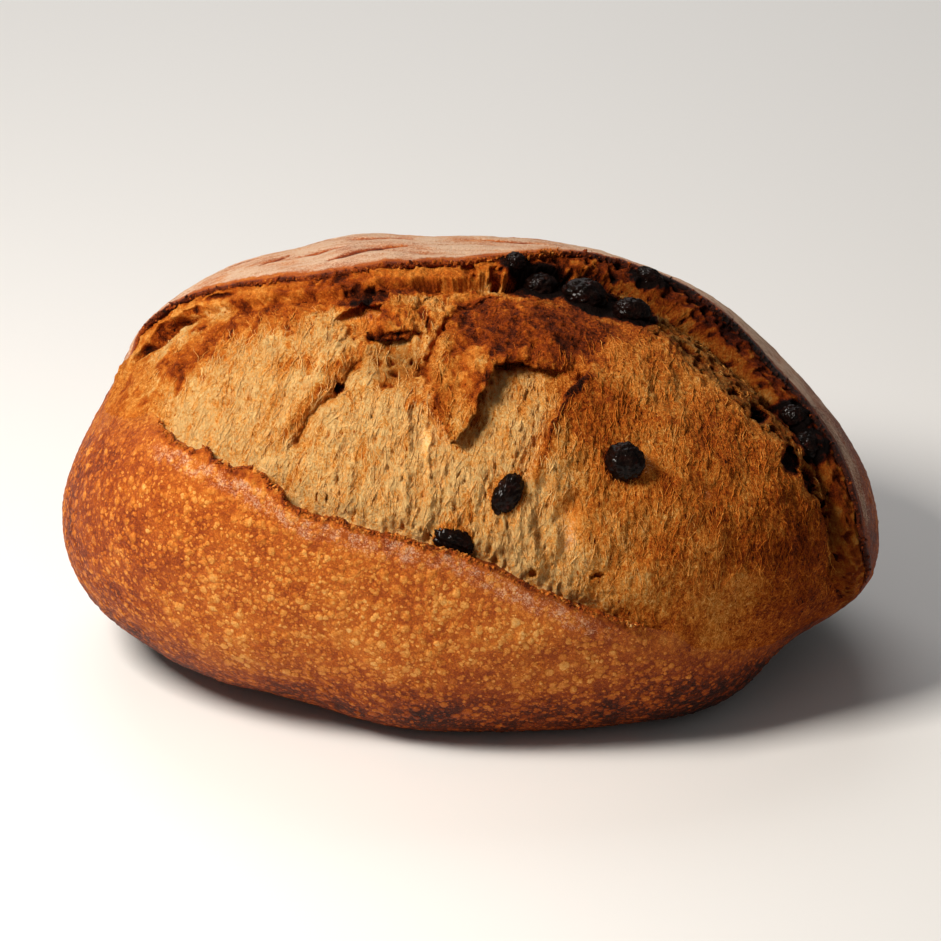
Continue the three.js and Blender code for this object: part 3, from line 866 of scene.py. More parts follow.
def bread_material(name, roughness, gloss):
    material, shader = new_material(name)
    looks = {}
    for label in ("toast", "flour", "fibre", "blister", "sponge", "grain"):
        looks[label] = add_node(material, "Attribute", attribute_name=label).outputs["Fac"]

    def math_node(operation, first, second, third=0.0):
        inputs = {0: first, 1: second, 2: third}
        return add_node(material, "Math", inputs, operation=operation).outputs[0]

    def weighted_sum(start, layers):
        for value, weight in layers:
            start = math_node("MULTIPLY_ADD", value, weight, start)
        return start

    def step_between(value, low, high):
        inputs = {"Value": value, "From Min": low, "From Max": high}
        step = add_node(material, "MapRange", inputs, interpolation_type="SMOOTHSTEP")
        return step.outputs["Result"]

    def pattern(vector, size, detail, roughness, distortion=0.0):
        inputs = {"Vector": vector, "Scale": 1 / (size * MM), "Detail": detail}
        inputs |= {"Roughness": roughness, "Distortion": distortion}
        return add_node(material, "TexNoise", inputs).outputs["Fac"]

    place = add_node(material, "TexCoord").outputs["Object"]
    upright = {"Vector": place, "Rotation": (math.radians(FACE_LEAN), 0, 0)}
    face = add_node(material, "Mapping", upright).outputs["Vector"]
    sway = {"Vector": place, "Scale": 1 / (6 * MM), "Detail": 1.0}
    swayed = add_node(material, "TexNoise", sway).outputs["Color"]
    shift = {0: swayed, 1: (2.4 * MM, 0, 2.4 * MM), 2: face}
    bent = add_node(material, "VectorMath", shift, operation="MULTIPLY_ADD").outputs[0]
    drawn = {"Vector": bent, "Scale": (1, 1, FIBRE_WIDTH / FIBRE_LENGTH)}
    stretched = add_node(material, "Mapping", drawn).outputs["Vector"]

    # Fibres are the thin lines where a stretched noise crosses its middle, drawn paler: partly pale
    # gluten, partly painted highlight.
    fibres = None
    for size, thin in FIBRES:
        waves = pattern(stretched, size, 1.0, 0.5, 0.6)
        from_middle = math_node("ABSOLUTE", math_node("SUBTRACT", waves, 0.5), 0.0)
        line = step_between(from_middle, thin, 0.0)
        fibres = line if fibres is None else math_node("MAXIMUM", fibres, line)
    fibres = math_node("MULTIPLY", fibres, looks["fibre"])
    grains = pattern(place, GRAIN_SIZE, 3.0, 0.65, 1.2)
    wool = pattern(bent, 1.7, 5.0, 0.72, 1.6)
    mottled = pattern(place, 9, 4.0, 0.6)

    # Blisters: a low dome in each cell, of random size and tone, in coarse to fine layers.
    blister_tone = 0.0
    blister_height = 0.0
    knead = {"Vector": place, "Scale": 1 / (1.6 * MM), "Detail": 2.0}
    knead = add_node(material, "TexNoise", knead).outputs["Color"]
    kneaded = {0: knead, 1: (1.1 * MM, 1.1 * MM, 1.1 * MM), 2: place}
    uneven = add_node(material, "VectorMath", kneaded, operation="MULTIPLY_ADD").outputs[0]
    for spacing in BLISTER_SPACINGS:
        cell = add_node(material, "TexVoronoi", {"Vector": uneven, "Scale": 1 / (spacing * MM)})
        random = add_node(material, "SeparateColor", {"Color": cell.outputs["Color"]})
        radii = math_node("MULTIPLY_ADD", random.outputs["Red"], 0.36, 0.18)
        share = math_node("DIVIDE", cell.outputs["Distance"], radii)
        dome = math_node("SUBTRACT", 1.0, math_node("MULTIPLY", share, share))
        dome = math_node("MAXIMUM", dome, 0.0)
        tone = math_node("MULTIPLY_ADD", random.outputs["Green"], 0.9, 0.1)
        pale = math_node("MULTIPLY", step_between(dome, 0.0, 0.55), tone)
        tall = math_node("MULTIPLY", math_node("MULTIPLY", dome, radii), BLISTER_RISE * spacing)
        blister_tone = math_node("MAXIMUM", pale, blister_tone)
        blister_height = math_node("MAXIMUM", tall, blister_height)
    around_blisters = math_node("SUBTRACT", 1.0, step_between(blister_height, 0.0, 0.12))
    around_blisters = math_node("MULTIPLY", around_blisters, looks["blister"])
    blister_tone = math_node("MULTIPLY", blister_tone, looks["blister"])
    blister_height = math_node("MULTIPLY", blister_height, looks["blister"])

    # Pores: small pits, drawn out along the fibres and darkened with painted shade.
    slots = {"Vector": bent, "Scale": (1, 1, 0.3)}
    slotted = add_node(material, "Mapping", slots).outputs["Vector"]
    pore_cells = {"Vector": slotted, "Scale": 1 / (PORE_SPACING * MM)}
    pore_cell = add_node(material, "TexVoronoi", pore_cells)
    pore_sizes = {"Color": pore_cell.outputs["Color"]}
    pore_sizes = add_node(material, "SeparateColor", pore_sizes).outputs["Red"]
    pore_radii = math_node("MULTIPLY_ADD", pore_sizes, 0.3, -0.02)
    in_pore = math_node("SUBTRACT", pore_radii, pore_cell.outputs["Distance"])
    pores = step_between(in_pore, 0.0, 0.12)
    shaded_pores = math_node("MULTIPLY", pores, looks["fibre"])

    # Painted highlight: the tops of the grains are drawn paler.
    grain_highlights = math_node("MULTIPLY", step_between(grains, 0.5, 0.66), looks["grain"])
    speckled = math_node("SUBTRACT", step_between(grains, 0.36, 0.64), 0.5)
    woolly = math_node("MULTIPLY_ADD", looks["fibre"], 0.8, 0.35)
    wool_lines = math_node("MULTIPLY", math_node("SUBTRACT", wool, 0.5), woolly)
    browning = (
        (math_node("SUBTRACT", mottled, 0.5), 0.45),
        (speckled, 0.18),
        (wool_lines, 1.0),
        (fibres, -0.16),
        (looks["fibre"], 0.05),
        (grain_highlights, -0.26),
        (blister_tone, -0.25),
        (around_blisters, 0.06),
        (shaded_pores, 0.34),
    )
    browned = colour_ramp(material, weighted_sum(looks["toast"], browning), TOAST_COLOURS)

    # A Mix node's inputs 0, 6 and 7 are its factor and its two colours, and output 2 the colour.
    spongy = {0: looks["sponge"], 6: browned, 7: linear(SPONGE_COLOUR)}
    colour = add_node(material, "Mix", spongy, data_type="RGBA", blend_type="MULTIPLY").outputs[2]
    # Flour lies in grains, so it shows where a fine noise is under its thickness.
    floured = step_between(math_node("SUBTRACT", looks["flour"], grains), -0.12, 0.3)
    flour = {0: floured, 6: colour, 7: linear(FLOUR_COLOUR)}
    colour = add_node(material, "Mix", flour, data_type="RGBA").outputs[2]

    raised = ((fibres, 0.2), (grains, 0.7), (wool_lines, 1.5), (grain_highlights, 0.12))
    raised += ((shaded_pores, -0.35),)
    normal = bumped(material, weighted_sum(blister_height, raised), MM)
    surface = {"Base Color": colour, "Normal": normal, "Roughness": roughness}
    set_inputs(material, shader, surface | {"Specular IOR Level": gloss})
    return material


# ==== Upper crust ====
# The baked skin over the crown and the back, floured before it was scored, with the burnt and
# ragged ear at its front edge. Baked bread crust about 2 mm thick, rolled over at the ear.
CRUST_COLUMNS = 428
CRUST_ROWS = 232
EAR_ROLL_ROWS = 6
EAR_ROLL = 0.85  # the rolled edge's radius
LEAST_ROLL = 0.12  # the same where the edge has faded
FLAKED_ROLL = (0.2, 2.6)  # radians of the roll that flakes stand on
SKIN_LUMPS = 0.7  # how strongly the baked skin's lumps show
LEAST_RING = 8  # mm from the burst's axis, under which ragged edges stray less
BLEND_REACH = 4  # two pieces run under each other this far where no edge parts them
BLEND_DIP = 0.3
POLE_TURN = 0.9  # radians, the most that a piece runs under its neighbour near the loaf's ends
STROKE_DEPTH = 1.1
STROKE_WIDTH = 1.3
WRINKLE = (14, 2.2, 2.2)  # mm between wrinkles in the flour along, across and up the loaf
# Scored strokes on the crown, seen from above: millimetres (x, y) from end to end.
STROKES = (
    ((-38.8, 11), (-17.4, 20)),
    ((-48.5, 19.8), (-35.5, 21.4)),
    ((-58.5, 18), (-50.3, 25.5)),
    ((-69.9, 37), (-59, 30)),
    ((-34.4, 30.6), (-16, 31)),
    ((-50, 38), (-33, 42)),
    ((-62, 46), (-48, 52)),
    ((-30, 50), (-10, 47)),
    ((4, 33), (24, 28)),
    ((6, 46), (27, 42)),
)


def under_neighbour(spot, open_share):
    """Radians that a piece runs on under its neighbour where no rolled edge ends it."""
    return np.minimum(BLEND_REACH * (1 - open_share) / np.maximum(spot.ring, 0.5), POLE_TURN)


def flaked(roll, inside, edge_share):
    """The vertices on a torn edge where flakes of crust stand."""
    return (roll > FLAKED_ROLL[0]) & (roll < FLAKED_ROLL[1]) & (inside == 0) & edge_share


baked_crust = bread_material("baked_crust", 0.55, 0.16)

shape, ring, row = sphere_stations(CRUST_COLUMNS, CRUST_ROWS)
along = deal_rings(CRUST_COLUMNS, 0, 180)[0][ring]
walk, roll_first, _, inside = (value[row] for value in deal_rows(CRUST_ROWS, EAR_ROLL_ROWS, 0, 0.2))
ear_turn = np.radians(through(EAR_LINE, along))
edge = spots(along, ear_turn)
first_turn = ear_turn - under_neighbour(edge, edge.opened)
strayed = edge.opened * raggedness(along, EAR_RAGGED, EAR_SEED)
first_turn += strayed / np.maximum(edge.ring, LEAST_RING)
last_turn = BASE_TURN + 2 * np.pi + under_neighbour(edge, 0)
spot = spots(along, first_turn + (last_turn - first_turn) * walk)
lumps, blister = skin_relief(spot)
from_base = spot.ring * (spot.turn - BASE_TURN - 2 * np.pi)
tuck = BLEND_DIP * smoothstep(-BLEND_REACH, BLEND_REACH, from_base)
tuck += BLEND_DIP * smoothstep(BLEND_REACH, -BLEND_REACH, spot.from_ear) * (1 - spot.opened)
facing_up = spot.direction[:, 2]
floured = smoothstep(-0.2, 0.4, facing_up + 0.12 * noise(spot.point, 18, 91))
beside_ear = smoothstep(26, 8, spot.from_ear) * smoothstep(10, 24, along)
beside_ear *= smoothstep(78, 62, along)
floured = np.maximum(floured, 0.9 * beside_ear)
floured *= smoothstep(0.3, 3.5, spot.from_ear + 0.8 * noise(spot.point, 4, 92))
stroke_cut = np.zeros(len(along))
plan = spot.point[:, :2] + 0.5 * shifts(spot.point, 7, (93, 94))
for stroke in STROKES:
    near = track(stroke, plan)
    tapered = STROKE_WIDTH * (0.35 + 0.65 * smoothstep(0, 5, near.to_end))
    cut = np.exp(-((near.distance / tapered) ** 2)) * (facing_up > 0)
    stroke_cut = np.maximum(stroke_cut, cut)
wrinkled = spot.point / WRINKLE
wrinkles = (noise(wrinkled, 1, 95) + 0.7 * noise(wrinkled, 0.5, 90)) * floured
burnt = np.exp(-np.maximum(spot.from_ear, 0) / 0.8) * spot.opened
height = ear_lift(spot) + lumps * SKIN_LUMPS + 0.3 * blister * (1 - 0.8 * floured)
height += 0.22 * wrinkles
height -= tuck + STROKE_DEPTH * stroke_cut
points = spot.point + height[:, None] * spot.direction
fold = EAR_OVERHANG * np.exp(-np.maximum(spot.from_ear, 0) / EAR_BAND) * spot.opened
points -= fold[:, None] * spot.upward
uneven_roll = spot.opened * (1 + 0.3 * noise(spot.point, 3, 96))
roll_radius = LEAST_ROLL + (EAR_ROLL - LEAST_ROLL) * uneven_roll
points = roll_edge(points, spot, roll_first, roll_radius, -1)
burning = 0.2 + 0.2 * charred_share(along) + 0.14 * smoothstep(124, 138, along)
toast = crust_toast_and_shade(spot) + burnt * burning
toast += 0.3 * stroke_cut + 0.04 * wrinkles
looks = dict(
    toast=toast,
    flour=floured * (1 - stroke_cut) * (0.66 + 0.14 * noise(spot.point, 11, 97) + 0.16 * wrinkles),
    fibre=0 * along,
    blister=0.9 * (1 - floured) * smoothstep(2, 10, spot.from_ear),
    sponge=0 * along,
    grain=0.5 + 0.5 * burnt,
)
looks["toast"] -= 0.16 * blister * (1 - floured)
on_edge = flaked(roll_first, inside, spot.opened > 0.5)
# Flakes are drawn paler than the edge under them: painted light against their own shade.
torn_edges = [(points[on_edge], toast[on_edge] - 0.1)]
upper_crust = finish_segment("upper_crust", shape, points, inside, looks)
upper_crust.data.materials.append(baked_crust)

# ==== Lower crust ====
# The baked skin below the burst, down the front and under the base, full of pale blisters. Its
# torn upper edge is the lip, a thin rim curled up over the crumb with flour dust left below it.
LIP_ROLL_ROWS = 6
LIP_ROLL = 0.4
# Shreds of the lip that stand up from it: degrees along, half width in degrees, height.
LIP_SHREDS = ((138.5, 1.4, 2.2), (128, 3.2, 2.6), (123, 1.2, 1.5), (111.5, 1.6, 1), (147, 1, 1))

shape, ring, row = sphere_stations(CRUST_COLUMNS, CRUST_ROWS)
along = deal_rings(CRUST_COLUMNS, 0, 180)[0][ring]
walk, _, roll_last, inside = (value[row] for value in deal_rows(CRUST_ROWS, 0, LIP_ROLL_ROWS, 0.0))
lip_turn = np.radians(through(LIP_LINE, along))
edge = spots(along, lip_turn)
shreds = np.zeros(len(along))
for middle, half, tall in LIP_SHREDS:
    shreds = np.maximum(shreds, tall * np.exp(-(((along - middle) / half) ** 4)))
strayed = edge.lipped * (raggedness(along, LIP_RAGGED, LIP_SEED) + shreds)
last_turn = lip_turn + under_neighbour(edge, edge.lipped)
last_turn = last_turn + strayed / np.maximum(edge.ring, LEAST_RING)
first_turn = BASE_TURN - under_neighbour(edge, 0)
spot = spots(along, first_turn + (last_turn - first_turn) * walk)
lumps, blister = skin_relief(spot)
torn = torn_share(spot)
tuck = BLEND_DIP * smoothstep(-BLEND_REACH, BLEND_REACH, spot.from_lip) * (1 - spot.lipped)
spot.point = spot.point - ear_groove(spot)[:, None] * spot.direction
crumb_forms(spot)
crumb = crumb_texture(spot)
crust_height = lip_lift(spot) + lumps * SKIN_LUMPS + 0.35 * blister
faded = (1 - spot.lipped) * torn
height = crust_height * (1 - faded) + (crumb.texture * 0.5 + lumps * SKIN_LUMPS) * faded
rim = smoothstep(-0.9, -0.1, spot.from_lip + 0.6 * noise(spot.point, 2.5, 103)) * spot.lipped
height += rim * (0.8 * noise(spot.point, 2.4, 105) + 0.4 * noise(spot.point, 1.2, 106)) - tuck
points = spot.point + height[:, None] * spot.direction
fold = LIP_OVERHANG * np.exp(np.minimum(spot.from_lip, 0) / (2 * LIP_STEP)) * spot.lipped
points += fold[:, None] * spot.upward
roll_radius = LEAST_ROLL + (LIP_ROLL - LEAST_ROLL) * spot.lipped
points = roll_edge(points, spot, roll_last, roll_radius, 1)
dust = smoothstep(-10, -4, spot.from_lip + 2 * noise(spot.point, 8, 98)) * (1 - rim) * spot.lipped
dust *= 0.45 + 0.16 * noise(spot.point, 3, 98)
toast = crust_toast_and_shade(spot) * (1 - faded) + (0.1 + crumb.toast) * faded
rim_toast = 0.6 + 0.3 * noise(spot.point, 1.8, 104)
looks = dict(
    toast=toast * (1 - rim) + rim * rim_toast - 0.12 * blister * (1 - faded),
    flour=dust,
    fibre=faded,
    blister=(1 - faded) * (1 - rim) * (1 - 0.6 * np.minimum(dust, 1)),
    sponge=0 * along,
    grain=0.3 + 0.3 * faded + 0.5 * rim,
)
on_edge = flaked(roll_last, inside, spot.lipped > 0.4)
# Flakes are drawn paler than the lip under them: painted light against their own shade.
torn_edges.append((points[on_edge], rim_toast[on_edge] - 0.08))
lower_crust = finish_segment("lower_crust", shape, points, inside, looks)
lower_crust.data.materials.append(baked_crust)

# ==== Torn crumb ====
# The dough's inside where the loaf burst: a pale web of stretched gluten, toasted where it stood
# out. It runs in under the ear above and under the lip below, and is made in two halves.
CRUMB_COLUMNS = 428
CRUMB_ROWS = 232
CRUMB_SPLIT = 94  # degrees along the burst
CRUMB_PARTS = (("torn_crumb_right", 0, CRUMB_SPLIT), ("torn_crumb_left", CRUMB_SPLIT, 180))
TUCKED = 5  # mm that it runs in under both crusts
EAR_CRUST = 1.5  # how thick the crust is at the ear
CRUMB_TOAST = 0.08  # how toasted the palest crumb is

torn_crumb_material = bread_material("torn_crumb", 0.8, 0.07)

# The fruit's places and radii. All but the first three lie in pockets of crumb drawn dark, partly
# burnt and partly painted shade.
POCKET_FRUIT = tuple(f"raisin_{number}" for number in range(4, 11))
fruit_nodes = sorted(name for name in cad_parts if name.startswith("raisin_"))
fruit_places = []
for name in fruit_nodes:
    corners = vertex_places(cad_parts[name].data.vertices) / MM + DOUGH_MIDDLE
    low, high = corners.min(axis=0), corners.max(axis=0)
    fruit_places.append(((high + low) / 2, (high - low).mean() / 2, name in POCKET_FRUIT))

crumb_skins = []

for name, first_along, last_along in CRUMB_PARTS:
    shape, ring, row = sphere_stations(CRUMB_COLUMNS, CRUMB_ROWS)
    dealt = deal_rings(CRUMB_COLUMNS, first_along, last_along)
    along, ring_inside = (value[ring] for value in dealt)
    walk, _, _, row_inside = (value[row] for value in deal_rows(CRUMB_ROWS, 0, 0, 0.25))
    inside = 1 - (1 - ring_inside) * (1 - row_inside)
    ear_turn = np.radians(through(EAR_LINE, along))
    lip_turn = np.radians(through(LIP_LINE, along))
    edge = spots(along, ear_turn)
    tucked = np.minimum(TUCKED / np.maximum(edge.ring, 0.5), POLE_TURN)
    spot = spots(along, lip_turn - tucked + (ear_turn - lip_turn + 2 * tucked) * walk)
    lumps, blister = skin_relief(spot)
    torn = torn_share(spot)
    faded = torn + (1 - torn) * spot.lipped
    crusty = 1 - faded

    # The burst's own form: the ear's underside, the hollows below it and the step at the lip.
    below_ear = np.minimum(spot.from_ear, 0)
    band = smoothstep(-EAR_BAND * 1.5, -EAR_BAND, spot.from_ear)
    drop = EAR_DROP * (1 - 0.5 * smoothstep(*SHALLOW_FROM, along)) * spot.opened
    crest = ear_lift(spot) + drop * np.maximum(below_ear, -EAR_BAND) / EAR_BAND
    height = crest * band - ear_groove(spot)
    height -= EAR_CRUST * np.exp(below_ear / 2.5) * spot.opened
    lip_groove = LIP_GROOVE * np.exp(-np.maximum(spot.from_lip - LIP_STEP, 0) / GROOVE_REACH)
    height -= lip_groove * spot.lipped
    height -= BLEND_DIP * smoothstep(BLEND_REACH, -BLEND_REACH, spot.from_lip) * (1 - spot.lipped)
    height -= BLEND_DIP * smoothstep(-BLEND_REACH, BLEND_REACH, spot.from_ear) * (1 - spot.opened)
    cave_shade = np.zeros(len(along))
    for middle, half_length, below, half_width, deep in EAR_CAVITIES:
        reach = ((along - middle) / half_length) ** 2 + ((spot.from_ear + below) / half_width) ** 2
        cave = np.exp(-(reach**2))
        deepened = deep * cave * (1 + 0.4 * spot.direction[:, 0])
        spot.point = spot.point - deepened[:, None] * FACE_OUT
        cave_shade = np.maximum(cave_shade, cave)
    fold = EAR_OVERHANG * band * np.exp(-np.maximum(spot.from_ear, 0) / EAR_BAND) * spot.opened
    spot.point = spot.point + height[:, None] * spot.direction - fold[:, None] * spot.upward
    crumb_forms(spot)
    crumb = crumb_texture(spot)
    pocket = np.zeros(len(along))
    contact_shade = np.zeros(len(along))
    for middle, reach, pocketed in fruit_places:
        gap = np.linalg.norm(spot.point - middle, axis=1) - reach + 0.5 * spot.wobble[:, 0]
        contact_shade = np.maximum(contact_shade, smoothstep(1.4, 0.2, gap))
        pocket = np.maximum(pocket, smoothstep(3.4, 1, gap) * pocketed)

    banded = smoothstep(-9, -5, spot.from_ear + 2 * noise(spot.point, 5, 100)) * spot.opened
    rough = layered_noise(spot.point, 4.5, 3, 101) - 1.5 * domes(spot.point, 4.2, 10, 0.1, 0.6)
    rough += 0.5 * noise(spot.point, 1.6, 116)
    rough *= 0.3 + 0.9 * smoothstep(105, 84, along)
    leftover = 1 - banded * (0.5 + 0.5 * smoothstep(125, 95, along))
    flecks = smoothstep(0.15, 0.5, noise(spot.point, 2.2, 117)) * smoothstep(96, 80, along)
    texture = crumb.texture * leftover + (rough + 0.9 * crumb.grains) * banded
    full = np.maximum(spot.lipped, smoothstep(8, 20, spot.from_lip))
    height = (texture + 0.8 * pocket) * faded * (0.5 + 0.5 * full)
    height += (lumps * SKIN_LUMPS + 0.35 * blister) * crusty
    height += lumps * SKIN_LUMPS * (1 - spot.lipped) * faded
    # The torn band faces down, so its relief goes that way too.
    points = spot.point + height[:, None] * spot.direction
    points -= (0.7 * height * banded)[:, None] * spot.upward

    toast = CRUMB_TOAST + crumb.toast
    for flap, (half_width, amount) in zip(spot.flaps, FLAP_LINES):
        on_path = smoothstep(2, 8, flap.to_end)
        toast += amount * np.exp(-(((flap.side - 1) / half_width) ** 2)) * on_path
        shade = smoothstep(0, 1.5, -flap.side) * np.exp(np.minimum(flap.side, 0) / 2.5) * on_path
        toast += 0.14 * shade * (1 - crumb.grainy)
    # Painted highlight: raised grains are drawn paler.
    toast -= 0.28 * crumb.grains * crumb.grainy
    # Painted shade: darker in the pockets round the fruit, which are also partly burnt, and where
    # the crumb touches any fruit.
    toast += 0.42 * pocket + 0.3 * contact_shade
    charred = charred_share(along)
    charred *= smoothstep(-2.2, -0.6, spot.from_ear + 1.2 * noise(spot.point, 3, 102))
    # The torn band under the ear: its own toast, and the share of the crumb's that it keeps.
    band_toast = 0.22 + 0.2 * smoothstep(124, 104, along) + 0.2 * smoothstep(100, 78, along)
    near_ear = 0.42 * np.exp(below_ear / 2) * smoothstep(118, 134, along)
    # Paler at the right end: painted light against the shadow that falls under the ear.
    band_toast += near_ear - 0.2 * smoothstep(38, 28, along)
    near_ear = 0.12 * smoothstep(-8, -2, spot.from_ear) * smoothstep(38, 46, along)
    band_toast += near_ear * smoothstep(80, 70, along)
    crumb_share = 0.2 + 0.5 * smoothstep(118, 132, along)
    band_toast -= 0.16 * rough
    band_toast -= 0.3 * flecks
    toast += banded * (band_toast - (1 - crumb_share) * toast + 0.14 * charred)
    # Painted shade: darker still in the band's fruit pockets and in the caves under the ear.
    toast += 0.5 * pocket * banded + 0.5 * cave_shade
    toast = crust_toast_and_shade(spot) * crusty + toast * faded - 0.16 * blister * crusty
    # Low on the open crumb the oven's heat hardly reached, and it stayed greyer.
    bare = smoothstep(26, 6, spot.from_lip) * spot.lipped * smoothstep(-0.3, 0.5, spot.wobble[:, 1])
    band_sponge = 0.8 - 0.4 * smoothstep(52, 66, along) - 0.4 * smoothstep(78, 94, along)
    looks = dict(
        toast=toast,
        flour=faded * (0.42 * crumb.membrane + 0.34 * bare),
        fibre=faded * (1 - crumb.membrane) * (1 - 0.6 * crumb.grainy) * (1 - 0.7 * banded),
        blister=crusty,
        sponge=np.maximum(0.8 * crumb.sponge, banded * band_sponge),
        grain=(0.25 + 0.75 * np.maximum(crumb.grainy, banded)) * faded + 0.3 * crusty,
    )
    # The wall where the halves meet turns sharply off the skin.
    at_cut = (along == first_along) | (along == last_along)
    for edge in shape.edges:
        edge.smooth = not all(at_cut[vertex.index] for vertex in edge.verts)
    # What the strands below need: the skin as a grid, its toast, and where it bears strands.
    grid = (CRUMB_COLUMNS + 1, CRUMB_ROWS)
    skin, skin_toast, bearing = np.zeros(grid + (3,)), np.zeros(grid), np.zeros(grid)
    skin[ring, row] = points
    skin_toast[ring, row] = toast
    reach = np.where(along > 92, 12, 8)
    clear = (spot.from_lip > 2) & (spot.from_ear < -reach) & (ring_inside == 0) & (row_inside == 0)
    stranded = faded * (1 - 0.8 * crumb.membrane) * (1 - spot.hollow) * (1 - pocket)
    stranded *= 1 - 0.85 * crumb.grainy
    bearing[ring, row] = stranded * clear * full * (1 - 0.5 * crumb.skinned)
    crumb_skins.append((skin, skin_toast, bearing))
    half = finish_segment(name, shape, points, inside, looks)
    half.data.materials.append(torn_crumb_material)

# ==== Flakes of crust ====
# Bits of crust that chipped along its torn edges, baked hard on the ear and on the lip.
FLAKES_AN_EDGE = 1150
FLAKE_RADIUS = (0.2, 0.75)


def repeated_object(name, template, copies, points, toast, material):
    """One piece of many copies of a small shape, whose vertices are then put in their places."""
    template_mesh = bpy.data.meshes.new("template")
    template.to_mesh(template_mesh)
    template.free()
    shape = bmesh.new()
    for _ in range(copies):
        shape.from_mesh(template_mesh)
    bpy.data.meshes.remove(template_mesh)
    added = add_object(name, shape)
    places = (np.concatenate(points).reshape(-1, 3) - DOUGH_MIDDLE) * MM
    added.data.vertices.foreach_set("co", places.astype(np.float32).ravel())
    set_attribute(added.data, "toast", np.clip(np.concatenate(toast), 0.02, 1))
    added.data.materials.append(material)
    return added


random = np.random.default_rng(3)
flake = bmesh.new()
bmesh.ops.create_icosphere(flake, subdivisions=2, radius=1)
flake_ball = vertex_places(flake.verts)
flake_points = []
flake_toast = []
for places, tones in torn_edges:
    picked = random.integers(len(places), size=FLAKES_AN_EDGE)
    middles = places[picked] + 0.25 * random.normal(size=(FLAKES_AN_EDGE, 3))
    radii = between(FLAKE_RADIUS, random.random(FLAKES_AN_EDGE) ** 2)
    stretch = radii[:, None] * (1, 0.7, 0.4) * (0.8 + 0.4 * random.random((FLAKES_AN_EDGE, 3)))
    turned = np.linalg.qr(random.normal(size=(FLAKES_AN_EDGE, 3, 3)))[0]
    balls = flake_ball * (1 + 0.25 * random.normal(size=(FLAKES_AN_EDGE, len(flake_ball), 1)))
    flake_points.append(middles[:, None] + (balls * stretch[:, None]) @ turned)
    tone = tones[picked] + 0.1 * random.normal(size=FLAKES_AN_EDGE)
    flake_toast.append(np.repeat(tone, len(flake_ball)))
flake_count = len(torn_edges) * FLAKES_AN_EDGE
flakes = repeated_object("crust_flakes", flake, flake_count, flake_points, flake_toast, baked_crust)
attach(flakes, "root")

# ==== Strands of crumb ====
# Threads of gluten that stretched as the loaf burst and dried where they lay. They run up the torn
# face, each a little raised off it in the middle, and thinner at its ends.
STRANDS = 4000
STRAND_TRIES = 4  # begun for each that is kept
STRAND_STEPS = 7
STRAND_SIDES = 4
STRAND_RADIUS = (0.07, 0.16)
STRAND_STEP = (0.35, 1.3)  # mm from one step along a strand to the next
STRAND_HELD = 0.06  # the least bearing that the crumb has all along a strand
STEEPEST = 0.05  # the least that a grid cell counts as, where the skin is nearly edge on
LAST_RING = CRUMB_COLUMNS - 2
LAST_ROW = CRUMB_ROWS - 2 * WALL_ROWS - 2

random = np.random.default_rng(5)
slopes = [(np.gradient(skin, axis=0), np.gradient(skin, axis=1)) for skin, _, _ in crumb_skins]
weights = []
for (_, _, bearing), (over, up) in zip(crumb_skins, slopes):
    area = np.linalg.norm(np.cross(over, up), axis=2)
    area[:4] = 0
    area[-4:] = 0
    weights.append(area * bearing)
share = np.array([weight.sum() for weight in weights])
counts = np.rint(share / share.sum() * STRANDS).astype(int)
counts[-1] = STRANDS - counts[:-1].sum()

